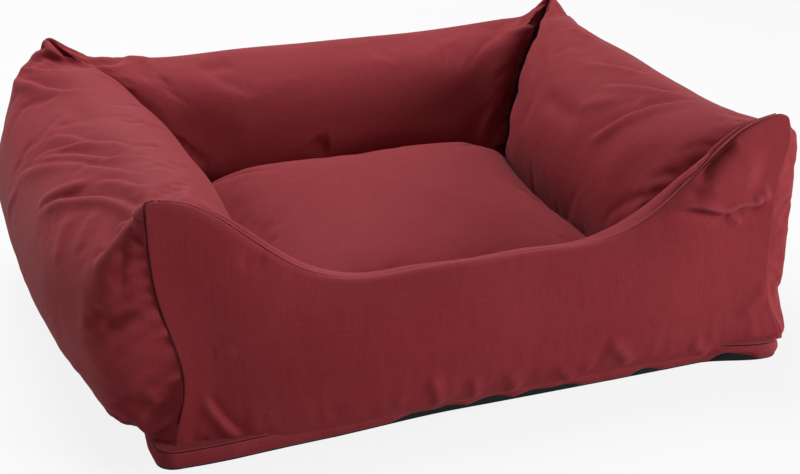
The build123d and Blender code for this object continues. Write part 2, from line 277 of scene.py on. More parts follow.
def lumps(points: Array, wavelength: float, seed: int, waves: int = 9) -> Array:
    """Smooth unevenness: a sum of plane waves with fixed random directions.

    Args:
        points: Places in millimetres, with x, y and z last.
        wavelength: Middle length of the waves.
        seed: Seed of the directions and phases.
        waves: Number of waves.

    Returns:
        A height for each place, mostly between -1 and 1.
    """
    rng = np.random.default_rng(seed)
    total = np.zeros(points.shape[:-1])
    for _ in range(waves):
        direction = rng.normal(size=3)
        direction /= np.linalg.norm(direction)
        length = wavelength * rng.uniform(0.7, 1.5)
        total += np.sin(points @ direction * 2 * math.pi / length + rng.uniform(0, 2 * math.pi))
    return total / math.sqrt(waves)


@dataclass(frozen=True)
class Fold:
    """A fold line in the cloth, in thousandths of the way along and around the piece."""

    path: tuple[tuple[int, int], ...]
    width: float
    depth: float
    shape: FoldShape = FoldShape.ROUND
    tapers: Pair = (0.3, 0.3)

    def profile(self, across: Array) -> Array:
        """Height of the cloth across the line, before the ends taper.

        Args:
            across: Signed distances from the line.

        Returns:
            A height for each distance.
        """
        x = across / self.width
        if self.shape is FoldShape.STEP:
            return self.depth * np.tanh(2.2 * x) * np.exp(-x * x / 5)
        if self.shape is FoldShape.TUCK:
            past = 1 / (1 + np.exp(-x / 0.16))
            puff = 0.5 * np.exp(-(((x + 0.7) / 1.1) ** 2))
            sunk = -0.6 * np.exp(-np.maximum(x, 0) / 1.1)
            return self.depth * (puff * (1 - past) + sunk * past)
        return self.depth * np.exp(-x * x)


@dataclass
class ClothGrid:
    """A grid of points on a piece of cloth, with the folds pressed into it."""

    points: Array
    along: Array
    around: Array
    lift: Array = field(init=False)
    normals: Array = field(init=False)

    def __post_init__(self) -> None:
        self.lift = np.zeros(self.points.shape[:2])
        self.normals = grid_normals(self.points)

    def place(self, path: Array) -> Array:
        """Points of the cloth at shares along and around.

        Args:
            path: Rows of a share along and a share around.

        Returns:
            Rows of x, y and z.
        """
        rows = np.interp(path[:, 0], self.along, np.arange(len(self.along)))
        columns = np.interp(path[:, 1], self.around, np.arange(len(self.around)))
        r0 = np.clip(rows.astype(int), 0, len(self.along) - 2)
        c0 = np.clip(columns.astype(int), 0, len(self.around) - 2)
        r, c = (rows - r0)[:, None], (columns - c0)[:, None]
        p = self.points
        low = p[r0, c0] * (1 - r) + p[r0 + 1, c0] * r
        high = p[r0, c0 + 1] * (1 - r) + p[r0 + 1, c0 + 1] * r
        return low * (1 - c) + high * c

    def press(self, fold: Fold) -> None:
        """Adds one fold to the height of the cloth.

        Args:
            fold: The fold.
        """
        nodes = np.array(fold.path, float) / 1000
        knots = np.arange(len(nodes), dtype=float)
        steps = np.linspace(0, knots[-1], 14 * (len(nodes) - 1) + 1)
        shares = spline_between(knots, nodes, steps)
        line = self.place(np.clip(shares, (self.along[0], 0), (self.along[-1], 1)))
        reach = fold.width * (3 if fold.shape is FoldShape.ROUND else 5)
        low, high = line.min(0) - reach, line.max(0) + reach
        near = np.all((self.points > low) & (self.points < high), axis=2)
        if not near.any():
            return
        places = self.points[near]
        best = np.full(len(places), 1e9)
        across = np.zeros(len(places))
        travel = np.zeros(len(places))
        normals = self.normals[near]
        lengths = travel_along(line)
        for k in range(len(line) - 1):
            start, step = line[k], line[k + 1] - line[k]
            size = max(step @ step, 1e-9)
            t = np.clip((places - start) @ step / size, 0, 1)
            offset = places - start - t[:, None] * step
            distance = np.linalg.norm(offset, axis=1)
            closer = distance < best
            best = np.where(closer, distance, best)
            side = np.sign(np.einsum("ij,ij->i", np.cross(normals, step), offset))
            across = np.where(closer, distance * side, across)
            travel = np.where(closer, (lengths[k] + t * math.sqrt(size)) / lengths[-1], travel)
        first, last = fold.tapers
        ends = smooth_step(np.minimum(travel / first, (1 - travel) / last), 0, 1)
        self.lift[near] += fold.profile(across) * ends * (best < reach)

    def raised(self) -> Array:
        """The grid's points with the folds lifted along the normals."""
        return self.points + self.normals * self.lift[..., None]

    def ring(self) -> Array:
        """How far out each point of a panel lies, from 0 in its middle to 1 at its seam."""
        return np.maximum(np.abs(self.along)[:, None], np.abs(2 * self.around - 1)[None])

    def follow(self, coarse: "ClothGrid", shift: Array) -> Array:
        """Moves the cloth as a coarser grid of it has moved.

        Args:
            coarse: The coarser grid.
            shift: How far each of its points moved.

        Returns:
            How far each point of this grid moves.
        """
        rows = spline_between(coarse.along, shift, self.along)
        both = spline_between(coarse.around, rows.transpose(1, 0, 2), self.around)
        self.points = self.points + both.transpose(1, 0, 2)
        return both


@dataclass(frozen=True)
class Push:
    """Stuffing that shifts the cloth round one place."""

    centre: Triple
    reach: Triple
    shift: Triple


BED_PUSHES: tuple[Push, ...] = (
    Push((-250, -208, 60), (48, 34, 58), (20, 0, 0)),
    Push((-262, -165, 26), (30, 46, 20), (-7, -2, 0)),
    Push((262, -192, 9), (32, 36, 29), (23, -3, -6)),
    Push((296, -140, 92), (48, 80, 46), (-13, 0, 0)),
    Push((262, -186, 184), (26, 40, 24), (13, 0, 0)),
    Push((-262, 172, 182), (34, 40, 26), (-12, 0, 3)),
    Push((-160, -206, 12), (100, 26, 26), (0, -8, -3)),
)


def settled(points: Array) -> Array:
    """The bed's cloth where its stuffing has shifted.

    Args:
        points: Places with x, y and z last.

    Returns:
        The shifted places.
    """
    moved = points.copy()
    for push in BED_PUSHES:
        share = np.exp(-(((points - push.centre) / push.reach) ** 2).sum(-1))
        moved += share[..., None] * push.shift
    return moved


# Meshes, in metres, from points in millimetres.


def linked(name: str, data: bpy.types.ID) -> Object:
    """A new object in the scene, at the origin.

    Args:
        name: Its name.
        data: Its mesh, lamp or camera.

    Returns:
        The object.
    """
    obj = bpy.data.objects.new(name, data)
    bpy.context.scene.collection.objects.link(obj)
    return obj


def new_object(
    name: str, points: Array, faces: list[tuple[int, ...]] | Array, uv: Array | None = None
) -> Object:
    """A smooth mesh object at the origin, from points in millimetres.

    Args:
        name: Name of the piece.
        points: Rows of x, y and z in millimetres.
        faces: Rows of point numbers.
        uv: Cloth lengths at each point, in millimetres along and around.

    Returns:
        The object.
    """
    mesh = bpy.data.meshes.new(name)
    mesh.from_pydata((points * MM).tolist(), [], [tuple(int(i) for i in f) for f in faces])
    mesh.update()
    mesh.polygons.foreach_set("use_smooth", [True] * len(mesh.polygons))
    if uv is not None:
        layer = mesh.uv_layers.new(name="cloth")
        corners = np.zeros(len(mesh.loops), np.int32)
        mesh.loops.foreach_get("vertex_index", corners)
        layer.data.foreach_set("uv", (uv[corners] * MM).astype(np.float32).ravel())
    return linked(name, mesh)


def grid_faces(rows: int, columns: int, offset: int = 0, flip: bool = False) -> Array:
    """Quads of a grid of points, row after row.

    Args:
        rows: Number of rows of points.
        columns: Number of points in a row.
        offset: Number of the first point.
        flip: Whether the quads face the other way.

    Returns:
        Four point numbers for each quad.
    """
    r, c = np.meshgrid(np.arange(rows - 1), np.arange(columns - 1), indexing="ij")
    a = offset + (r * columns + c).ravel()
    quads = np.stack((a, a + columns, a + columns + 1, a + 1), 1)
    return quads[:, ::-1] if flip else quads


def cloth_lengths(points: Array, along_mid: int) -> Array:
    """Lengths in the cloth at each point of a grid, for its weave.

    Args:
        points: The grid.
        along_mid: Column whose length along the piece counts for all.

    Returns:
        For each point its length along and around, in millimetres.
    """
    along = travel_along(points[:, along_mid])
    steps = np.linalg.norm(np.diff(points, axis=1), axis=2)
    around = np.concatenate((np.zeros((len(points), 1)), np.cumsum(steps, axis=1)), axis=1)
    around -= around[:, along_mid][:, None]
    return np.stack((np.repeat(along[:, None], points.shape[1], 1), around), 2)


def pillow_mesh(name: str, points: Array) -> Object:
    """A closed form from a grid that runs over it, with flat ends and a flat underside.

    Args:
        name: Name of the piece.
        points: The grid, from one foot over the top to the other foot.

    Returns:
        The object.
    """
    rows, columns = points.shape[:2]
    flat = points.reshape(-1, 3)
    faces = grid_faces(rows, columns).tolist()
    for r in range(rows - 1):
        a = r * columns
        b = a + columns
        faces.append((b, a, a + columns - 1, b + columns - 1))
    faces.append(tuple(range(columns)))
    faces.append(tuple(range(rows * columns - 1, (rows - 1) * columns - 1, -1)))
    uv = cloth_lengths(points, columns // 2).reshape(-1, 2)
    return new_object(name, flat, faces, uv)


def shell_mesh(name: str, points: Array, thickness: float, skip: Array | None = None) -> Object:
    """A sheet of cloth with its real thickness, closed at its edges.

    Args:
        name: Name of the piece.
        points: Grid on the outer face.
        thickness: Thickness towards the inside.
        skip: Cells of the grid that are cut away.

    Returns:
        The object.
    """
    rows, columns = points.shape[:2]
    inner = points - grid_normals(points) * thickness
    flat = np.concatenate((points.reshape(-1, 3), inner.reshape(-1, 3)))
    count = rows * columns
    keep = np.ones((rows - 1, columns - 1), bool) if skip is None else ~skip
    outside = grid_faces(rows, columns)[keep.ravel()]
    inside = grid_faces(rows, columns, count, True)[keep.ravel()]
    edges: dict[tuple[int, int], bool] = {}
    for quad in outside.tolist():
        for k in range(4):
            a, b = quad[k], quad[(k + 1) % 4]
            if edges.pop((b, a), None) is None:
                edges[(a, b)] = True
    rim = [(b, a, a + count, b + count) for a, b in edges]
    lengths = cloth_lengths(points, columns // 2).reshape(-1, 2)
    used = np.unique(np.concatenate((outside, inside)))
    place = np.full(len(flat), -1)
    place[used] = np.arange(len(used))
    faces = place[np.concatenate((outside, inside, rim))]
    return new_object(name, flat[used], faces, np.concatenate((lengths, lengths))[used])


def tube_faces(rows: int, columns: int) -> list[tuple[int, ...]]:
    """Faces of a capped tube made of rings of points.

    Args:
        rows: Number of rings.
        columns: Number of points of a ring.

    Returns:
        The point numbers of each face.
    """
    faces: list[tuple[int, ...]] = []
    for r in range(rows - 1):
        for c in range(columns):
            a, b = r * columns + c, r * columns + (c + 1) % columns
            faces.append((a, b, b + columns, a + columns))
    faces.append(tuple(range(columns - 1, -1, -1)))
    faces.append(tuple(range((rows - 1) * columns, rows * columns)))
    return faces


def tube_mesh(
    name: str, line: Array, across: Array, up: Array, half: float, high: float
) -> Object:
    """A low rounded ridge along a line, such as a pressed seam.

    Args:
        name: Name of the piece.
        line: Points along the middle.
        across: Unit directions across it.
        up: Unit directions out of the cloth.
        half: Half its width.
        high: Height above and below the line.

    Returns:
        The object.
    """
    angles = np.linspace(0, 2 * math.pi, 11)[:-1]
    rings = (
        line[:, None]
        + across[:, None] * (np.cos(angles) * half)[None, :, None]
        + up[:, None] * (np.sin(angles) * high)[None, :, None]
    )
    rows, columns = rings.shape[:2]
    lengths = np.repeat(travel_along(line), columns)
    girth = np.tile(np.arange(columns) * 2 * half * 3.1 / columns, rows)
    uv = np.stack((lengths, girth), 1)
    return new_object(name, rings.reshape(-1, 3), tube_faces(rows, columns), uv)


# Benches for node trees, and the finishes.


class Bench:
    """A small helper that wires the nodes of a tree."""

    def __init__(self, tree: bpy.types.NodeTree) -> None:
        self.tree = tree

    def add(self, kind: str, inputs: dict | None = None, **settings: object) -> bpy.types.Node:
        """A new node with its settings and inputs.

        Args:
            kind: The node's type name.
            inputs: Values or sockets for its inputs, by name or number.
            **settings: The node's own properties.

        Returns:
            The node.
        """
        node = self.tree.nodes.new(kind)
        for key, value in settings.items():
            setattr(node, key, value)
        for key, value in (inputs or {}).items():
            if isinstance(value, Socket):
                self.tree.links.new(value, node.inputs[key])
            else:
                node.inputs[key].default_value = value
        return node

    def sum_of(self, operation: str, *values: object) -> Socket:
        """The result of a math node on values or sockets."""
        return self.add("ShaderNodeMath", dict(enumerate(values)), operation=operation).outputs[0]

    def times(self, first: object, second: object) -> Socket:
        """The product of two values or sockets."""
        return self.sum_of("MULTIPLY", first, second)

    def plus(self, first: object, *others: object) -> Socket:
        """The sum of values or sockets, added in their order.

        Args:
            first: The first one.
            *others: The others.

        Returns:
            The socket of the sum.
        """
        for other in others:
            first = self.sum_of("ADD", first, other)
        return first


class ShaderBench(Bench):
    """A bench for the nodes of a material or of the world."""

    def __init__(self, owner: Material | bpy.types.World) -> None:
        owner.use_nodes = True
        super().__init__(owner.node_tree)
        self.tree.nodes.clear()

    def noise(
        self, place: Socket, scale: float, detail: float = 2.0,
        roughness: float = 0.5, distortion: float = 0.0,
    ) -> Socket:
        """A noise between 0 and 1.

        Args:
            place: Where it is read.
            scale: How fine it is.
            detail: Number of its finer layers.
            roughness: How strong these are.
            distortion: How much it is warped.

        Returns:
            The noise.
        """
        inputs = {"Vector": place, "Scale": scale, "Detail": detail}
        inputs |= {"Roughness": roughness, "Distortion": distortion}
        return self.add("ShaderNodeTexNoise", inputs).outputs["Fac"]

    def remap(
        self, value: Socket, start: float, end: float, low: float = 0.0, high: float = 1.0
    ) -> Socket:
        """A value brought from one range to another.

        Args:
            value: The value.
            start: Start of its range.
            end: End of its range.
            low: What the start becomes.
            high: What the end becomes.

        Returns:
            The new value.
        """
        inputs = {"Value": value, "From Min": start, "From Max": end}
        inputs |= {"To Min": low, "To Max": high}
        return self.add("ShaderNodeMapRange", inputs).outputs[0]

    def blend(self, share: Socket, first: Triple, second: Triple) -> Socket:
        """A colour between two colours, by the share of the second."""
        inputs = {"Factor": share, 6: (*first, 1), 7: (*second, 1)}
        return self.add("ShaderNodeMix", inputs, data_type="RGBA").outputs[2]

    def bump(self, strength: float, distance: float, height: Socket, **more: object) -> Socket:
        """The normal of a fine relief.

        Args:
            strength: Strength of the relief.
            distance: Its depth in metres.
            height: Its height, from 0 to 1.
            **more: The normal that it starts from, as Normal.

        Returns:
            The normal.
        """
        inputs = {"Strength": strength, "Distance": distance, "Height": height, **more}
        return self.add("ShaderNodeBump", inputs).outputs[0]

    def crossed(self, place: Socket, pitch: float) -> Socket:
        """Waves of one pitch along both ways of a surface, multiplied.

        Args:
            place: Place on the surface.
            pitch: Length of a wave, in millimetres.

        Returns:
            Their product.
        """
        split = self.add("ShaderNodeSeparateXYZ", {0: place}).outputs
        turns = 2 * math.pi / (pitch * MM)
        return self.times(*(self.sum_of("SINE", self.times(split[k], turns)) for k in (0, 1)))

    def close(self, inputs: dict) -> None:
        """Ends a material's tree with its shader, which has these inputs."""
        shader = self.add("ShaderNodeBsdfPrincipled", inputs)
        self.add("ShaderNodeOutputMaterial", {"Surface": shader.outputs[0]})


def material_bench(name: str) -> tuple[Material, ShaderBench, Socket]:
    """A new material with its bench.

    Args:
        name: Name of the material.

    Returns:
        The material, its bench, and the place in the piece that it dresses.
    """
    made = bpy.data.materials.new(name)
    bench = ShaderBench(made)
    return made, bench, bench.add("ShaderNodeTexCoord").outputs["Object"]


class GeometryBench(Bench):
    """A bench for a geometry node tree with named sizes."""

    def __init__(self, name: str) -> None:
        super().__init__(bpy.data.node_groups.new(name, "GeometryNodeTree"))
        for way in ("INPUT", "OUTPUT"):
            self.tree.interface.new_socket(
                "Geometry", in_out=way, socket_type="NodeSocketGeometry"
            )
        self.source = self.tree.nodes.new("NodeGroupInput")
        self.result = self.tree.nodes.new("NodeGroupOutput")

    def size(self, name: str, kind: str = "NodeSocketFloat") -> Socket:
        """A named input of the tree, a length unless its kind says otherwise."""
        self.tree.interface.new_socket(name, in_out="INPUT", socket_type=kind)
        return self.source.outputs[name]

    def vector(self, *values: object) -> Socket:
        """A vector of three values or sockets."""
        return self.add("ShaderNodeCombineXYZ", dict(enumerate(values))).outputs[0]

    def placed(self, geometry: Socket, inputs: dict) -> Socket:
        """A form that is shifted, turned or scaled."""
        return self.add("GeometryNodeTransform", {"Geometry": geometry, **inputs}).outputs[0]

    def repeated(self, inputs: dict) -> Socket:
        """A form that stands at each of some points."""
        return self.add("GeometryNodeInstanceOnPoints", inputs).outputs[0]

    def joined(self, *forms: Socket) -> Socket:
        """Several forms as one.

        Args:
            *forms: The forms.

        Returns:
            The joined form.
        """
        join = self.add("GeometryNodeJoinGeometry")
        for form in forms:
            self.tree.links.new(form, join.inputs[0])
        return join.outputs[0]

    def close(self, geometry: Socket, material: Material) -> None:
        """Ends the tree: real geometry with its material."""
        real = self.add("GeometryNodeRealizeInstances", {0: geometry}).outputs[0]
        dressed = self.add("GeometryNodeSetMaterial", {0: real, "Material": material})
        self.tree.links.new(dressed.outputs[0], self.result.inputs[0])


def made_plain(
    name: str, source: Object, bench: GeometryBench, sizes: dict[str, float | int]
) -> Object:
    """Runs a geometry node tree on an object and keeps the result as a plain mesh.

    Args:
        name: Name of the piece.
        source: The object that the tree starts from, removed afterwards.
        bench: The tree.
        sizes: Values of its named inputs.

    Returns:
        The piece.
    """
    modifier = source.modifiers.new("made", "NODES")
    modifier.node_group = bench.tree
    for item in bench.tree.interface.items_tree:
        if item.item_type == "SOCKET" and item.in_out == "INPUT" and item.name in sizes:
            modifier[item.identifier] = sizes[item.name]
    graph = bpy.context.evaluated_depsgraph_get()
    graph.update()
    mesh = bpy.data.meshes.new_from_object(source.evaluated_get(graph), depsgraph=graph)
    mesh.name = name
    source.modifiers.remove(modifier)
    bpy.data.objects.remove(source)
    return linked(name, mesh)


def dress(piece: Object, material: Material, slot: Slot, body: str, *nodes: str) -> Object:
    """Gives a piece its material and ties it to the frame.

    Args:
        piece: The piece.
        material: Its material, which a geometry node tree may have given it already.
        slot: Its finish slot; not used.
        body: The body that it rides on.
        *nodes: The CAD nodes that it stands for.

    Returns:
        The same piece.
    """
    if not piece.data.materials:
        piece.data.materials.append(material)
    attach(piece, body)
    if nodes:
        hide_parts(*nodes)
    log.info("%s: %d faces", piece.name, len(piece.data.polygons))
    return piece


@dataclass(frozen=True)
class CanvasFinish:
    """A woven canvas: its colour, its threads, its crumple, and a paleness painted on its upward
    faces as light from above.
    """

    name: str
    colour: Triple
    pale_thread: Triple
    thread_pitch: float = 0.9
    weave_depth: float = 0.22
    sheen: float = 0.06
    sheen_tint: Triple = (1.0, 0.8, 0.82)
    roughness: float = 0.8
    gloss: float = 0.12
    slub_share: float = 0.16
    crumple_depth: float = 0.5
    # Painted light: how far faces that point up are paled, standing in for light from above.
    fading: float = 0.15
    base_paleness: float = 0.12

    def material(self) -> Material:
        """Builds the material.

        Returns:
            The material, whose weave follows the cloth lengths of the piece.
        """
        made, bench, solid = material_bench(self.name)
        place = bench.add("ShaderNodeUVMap", uv_map="cloth").outputs["UV"]
        weave = bench.crossed(place, self.thread_pitch)
        slubs = []
        for scale in ((26, 900, 1), (900, 26, 1)):
            stretched = bench.add("ShaderNodeMapping", {"Vector": place, "Scale": scale})
            slubs.append(bench.noise(stretched.outputs[0], 1.0, 2.0, 0.6))
        slub = bench.plus(*slubs)
        fuzz = bench.noise(solid, 1500.0, 1.0)
        cloudy = bench.noise(solid, 16.0, 3.0, 0.55)
        form = bench.add("ShaderNodeNewGeometry")
        upward = bench.add("ShaderNodeSeparateXYZ", {0: form.outputs["Normal"]}).outputs[2]
        # Painted highlight: faces that point up are mixed towards the pale thread, as if lit from
        # above.
        painted_top_light = bench.remap(upward, 0.2, 1.0, 0.0, self.fading)
        edge = bench.remap(form.outputs["Pointiness"], 0.5, 0.58, 0.0, 0.6)
        tone = bench.plus(
            bench.times(bench.sum_of("SUBTRACT", slub, 1.0), 2.6 * self.slub_share),
            bench.times(bench.sum_of("SUBTRACT", cloudy, 0.5), 0.35),
            bench.times(weave, 0.05),
            bench.times(fuzz, 0.16),
        )
        pale = bench.plus(tone, self.base_paleness, edge, painted_top_light)
        pale = bench.add("ShaderNodeClamp", {"Value": pale}).outputs[0]
        crumple = bench.noise(solid, 42.0, 4.0, 0.5, 0.4)
        soft = bench.bump(self.crumple_depth, 0.0024, crumple)
        height = bench.plus(weave, bench.times(slub, 1.6), bench.times(fuzz, 0.8))
        bench.close({
            "Base Color": bench.blend(pale, self.colour, self.pale_thread),
            "Roughness": self.roughness,
            "Specular IOR Level": self.gloss,
            "Sheen Weight": self.sheen,
            "Sheen Roughness": 0.32,
            "Sheen Tint": (*self.sheen_tint, 1),
            "Normal": bench.bump(self.weave_depth, 0.0006, height, Normal=soft),
        })
        return made


@dataclass(frozen=True)
class UndersideFinish:
    """Black anti-slip cloth with rows of small rubber dots."""

    name: str = "black_anti_slip_cloth"
    dot_pitch: float = 5.0
    black: Triple = (0.003, 0.003, 0.0035)
    worn_black: Triple = (0.011, 0.012, 0.012)

    def material(self) -> Material:
        """Builds the material.

        Returns:
            The material, dotted in the floor plane.
        """
        made, bench, solid = material_bench(self.name)
        facing = bench.add("ShaderNodeNewGeometry").outputs["Normal"]
        down = bench.add("ShaderNodeSeparateXYZ", {0: facing}).outputs[2]
        dots = bench.remap(bench.crossed(solid, self.dot_pitch), 0.45, 0.6)
        dots = bench.times(dots, bench.remap(down, -0.6, -0.9))
        weave = bench.noise(solid, 900.0)
        height = bench.plus(dots, bench.times(weave, 0.4))
        bench.close({
            "Base Color": bench.blend(weave, self.black, self.worn_black),
            "Roughness": bench.remap(dots, 0.0, 1.0, 0.85, 0.45),
            "Specular IOR Level": 0.15,
            "Normal": bench.bump(0.5, 0.0008, height),
        })
        return made


@dataclass(frozen=True)
class ThreadFinish:
    """Twisted sewing thread."""

    name: str = "wine_red_thread"
    colour: Triple = (0.15, 0.014, 0.017)
    pale: Triple = (0.28, 0.045, 0.052)

    def material(self) -> Material:
        """Builds the material.

        Returns:
            The material.
        """
        made, bench, solid = material_bench(self.name)
        twist = bench.add(
            "ShaderNodeTexWave",
            {"Vector": solid, "Scale": 700.0, "Distortion": 1.5, "Detail": 1.0},
            bands_direction="DIAGONAL",
        ).outputs["Fac"]
        bench.close({
            "Base Color": bench.blend(twist, self.colour, self.pale),
            "Roughness": 0.6,
            "Sheen Weight": 0.2,
            "Normal": bench.bump(0.4, 0.0002, twist),
        })
        return made


@dataclass(frozen=True)
class PlasticFinish:
    """Moulded zip plastic with a faint grain."""

    name: str = "zip_plastic_dark_red"
    colour: Triple = (0.09, 0.012, 0.016)

    def material(self) -> Material:
        """Builds the material.

        Returns:
            The material.
        """
        made, bench, solid = material_bench(self.name)
        grain = bench.noise(solid, 2200.0)
        dark = tuple(0.75 * c for c in self.colour)
        bench.close({
            "Base Color": bench.blend(grain, self.colour, dark),
            "Roughness": bench.remap(grain, 0.0, 1.0, 0.32, 0.5),
            "Normal": bench.bump(0.15, 0.0001, grain),
        })
        return made


# The walls.

STATIONS = (-1, -0.92, -0.78, -0.6, -0.4, -0.2, 0, 0.2, 0.4, 0.6, 0.78, 0.92, 1)
FRONT_SLOPE = 45 / 98
ARC_STEPS = 48
SIDE_SECTION = Section(18, 187, 40, 62, 98, 44, 98, 95, 90, 80)
RIGHT_SECTION = Section(18, 187, 40, 44, 98, 44, 98, 95, 90, 80)
BACK_SECTION = Section(14, 179, 36, 50, 94, 40, 90, 92, 90, 72)
FRONT_SECTION = Section(6 * FRONT_SLOPE, 122, 4, 12, 66, 16, 45, 70, 90, 42)


@dataclass
class WallForm:
    """Where one wall stands, its sections, and how it meets its neighbours."""

    name: str
    middle: Pair
    along: Pair
    inward: Pair
    half_length: float
    section: Section
    first: Section
    last: Section
    slopes: Pair
    low_entry: bool = False

    def end_share(self, share: float) -> float:
        """How much of the corner section a station takes.

        Args:
            share: Place of the station, from -1 to 1.

        Returns:
            The share of the corner section.
        """
        reach = abs(share)
        if self.low_entry:
            rise = max(0.0, (reach - 0.42) / 0.58)
            return rise * rise * (3 - 2 * rise)
        return 1 - (1 - reach**3) ** 0.45

    def side_line(self, share: float, side: int, shift: float, count: int) -> Array:
        """One side of a station, from the top down to the foot.

        Args:
            share: Place of the station, from -1 to 1.
            side: 1 for the inner side, -1 for the outer one.
            shift: How far the line starts from the top's middle.
            count: Number of points.

        Returns:
            Rows of x, y and z.
        """
        near, slope = (self.last, self.slopes[1]) if share > 0 else (self.first, self.slopes[0])
        along, inward = np.array(self.along, float), np.array(self.inward, float)
        fan = math.copysign(abs(share) ** 1.5, share) * slope
        slant = inward - along * fan
        stretch = float(np.linalg.norm(slant))
        slant /= stretch
        gap = SEAM_HALF * math.hypot(1, slope)
        origin = np.array(self.middle) + along * share * (self.half_length - gap)
        form = self.section.mixed(near, self.end_share(share))
        if side > 0:
            widest, height, foot = form.belly, form.belly_height, form.foot
            shoulder, lean = form.inner_shoulder, math.radians(form.lean)
        else:
            widest, height, foot = -form.bulge, form.bulge_height, 0.0
            shoulder, lean = form.outer_shoulder, math.pi / 2
        top = np.array((form.top_in * stretch + side * shift * stretch, form.top_height))
        reach = abs(widest * stretch - top[0])
        waist = np.array((reach, form.top_height - height))
        normal = np.array((-math.sin(lean), math.cos(lean)))
        span = waist - (0, shoulder)
        flank = (shoulder**2 - span @ span) / (2 * (span @ normal + shoulder))
        centre = waist + normal * flank
        joint = centre + (np.array((0, shoulder)) - centre) * (flank / (flank - shoulder))
        reach_foot = side * (foot * stretch) - side * top[0]
        end = np.array((reach_foot, form.top_height - BASE_HEIGHT))
        first, heading = tangent_arc(np.zeros(2), joint, np.array((1.0, 0.0)), ARC_STEPS)
        second, heading = tangent_arc(joint, waist, heading, ARC_STEPS)
        third, _ = tangent_arc(waist, end, heading, ARC_STEPS)
        line = even_steps(np.concatenate((np.zeros((1, 2)), first, second, third)), count)
        u = top[0] + side * line[:, 0]
        z = form.top_height - line[:, 1]
        return np.concatenate((origin + slant * u[:, None], z[:, None]), 1)

    def shares(self, step: float) -> Array:
        """Rising shares along the wall, closer together near the corner seams.

        Args:
            step: Distance between the points in the middle.

        Returns:
            The shares, from -1 to 1.
        """
        ends = np.array((0, 0.5, 1.1, 1.8, 2.7, 3.8, 5.2, 7.0)) / self.half_length
        count = int(round((2 * self.half_length - 18) / step))
        middle = np.linspace(-1 + 9.2 / self.half_length, 1 - 9.2 / self.half_length, count)
        return np.concatenate((-1 + ends, middle, 1 - ends[::-1]))

    def grid(self, step: float, sides: tuple[int, ...], shift: float = 0.0) -> ClothGrid:
        """The wall's surface as a grid.

        Args:
            step: Distance between its points.
            sides: Both sides for a cover that runs over the top, or one for a panel.
            shift: How far the panels start from the top's middle.

        Returns:
            The grid, whose columns run from the outer foot to the inner foot.
        """
        count = int(190 / step) + 1
        rings = []
        for share in STATIONS:
            lines = [self.side_line(share, side, shift, count) for side in sides]
            if len(lines) == 2:
                ring = np.concatenate((lines[0][::-1], lines[1][1:]))
            else:
                ring = lines[0][::-1] if sides[0] < 0 else lines[0]
            rings.append(ring)
        shares = self.shares(step)
        points = spline_between(np.array(STATIONS, float), np.array(rings), shares)
        around = np.linspace(0, 1, points.shape[1])
        return ClothGrid(points, shares, around)

    def outward(self, points: Array) -> bool:
        """Whether a grid's normals point away from the wall's inside."""
        away = points - points.mean((0, 1))
        return float(np.einsum("ijk,ijk->", grid_normals(points), away)) > 0


def roll_into_seams(grid: ClothGrid, radii: Pair) -> None:
    """Rounds the cloth down where it meets the corner seams, deeper on the inner side.

    Args:
        grid: The wall's grid, whose first and last rows lie at the seams.
        radii: Radius at the first and at the last end.
    """
    start = travel_from_end(grid.points)
    total = start[-1]
    inner = smooth_step(grid.around, 0.36, 0.5)
    for travel, radius in zip((start, total - start), radii):
        reach = min(radius, 2.4) * (1 - inner) + radius * inner
        near = np.clip(1 - travel / reach, 0, 1)
        grid.lift -= reach * (1 - np.sqrt(np.maximum(1 - near**2, 0))) * 0.8


def wavy_foot(grid: ClothGrid, side: int, depth: float, seed: int) -> None:
    """Small puckers where a wall is sewn to the mat, fading upwards.

    Args:
        grid: The wall's grid.
        side: 0 for the first column's edge, 1 for the last one's.
        depth: Height of the puckers.
        seed: Seed of their spacing.
    """
    columns = grid.points.shape[1]
    foot = 0 if side == 0 else columns - 1
    travel = travel_along(grid.points[:, foot])
    wave = small_waves(travel, (14, 19, 26, 37), np.random.default_rng(seed))
    heights = grid.points[:, :, 2] - BASE_HEIGHT
    near = np.exp(-np.maximum(heights, 0) / 16)
    mask = np.abs(np.arange(columns) - foot) < columns * 0.3
    rise = near * (1 - np.exp(-np.maximum(heights, 0) / 3))
    grid.lift += depth * wave[:, None] * rise * mask[None, :] * 0.5


def gather_at_seams(grid: ClothGrid, depth: float, reach: float, seed: int) -> None:
    """Short wrinkles that run into the wall from its corner seams.

    Args:
        grid: The wall's grid.
        depth: Height of the wrinkles.
        reach: How far they run before they fade.
        seed: Seed of their spacing.
    """
    start = travel_from_end(grid.points)
    total = start[-1]
    rng = np.random.default_rng(seed)
    for travel in (start, total - start):
        climb = travel_along(grid.points[0] if travel is start else grid.points[-1])
        wave = small_waves(climb, (13, 19, 29, 45), rng)
        knots = np.arange(0, climb[-1] + 40, 40)
        soft = np.interp(climb, knots, rng.uniform(0.2, 1, len(knots)))
        near = (1 - np.exp(-travel / 2.5)) * np.exp(-travel / reach)
        grid.lift += depth * near * (wave * soft)[None, :]


def sag_over_mat(points: Array, form: WallForm, depth: float, share: Array) -> Array:
    """Lets the outer cloth of a wall hang over the mat's edge.

    Args:
        points: The wall's grid.
        form: The wall.
        depth: How far it hangs down.
        share: How much of it hangs, from 0 to 1, at each point.

    Returns:
        The grid with its foot lowered.
    """
    inward = np.array((*form.inward, 0.0))
    beyond = (points - np.array((*form.middle, 0.0))) @ inward
    outside = np.where(beyond < 6, 1.0, 0.0) * share
    low = np.clip((48 - points[..., 2]) / 33, 0, 1)
    sunk = points.copy()
    sunk[..., 2] -= depth * low**2 * outside
    swell = 4.5 * np.sin(math.pi * np.clip(low, 0, 1)) * outside * low
    return sunk - inward * swell[..., None]


CORNER_PEAKS = {"front_left": 202, "front_right": 205, "back_left": 205, "back_right": 197}
CORNERS = {name: corner_section(peak, 1) for name, peak in CORNER_PEAKS.items()}
FRONT_CORNERS = {name: corner_section(peak, FRONT_SLOPE) for name, peak in CORNER_PEAKS.items()}


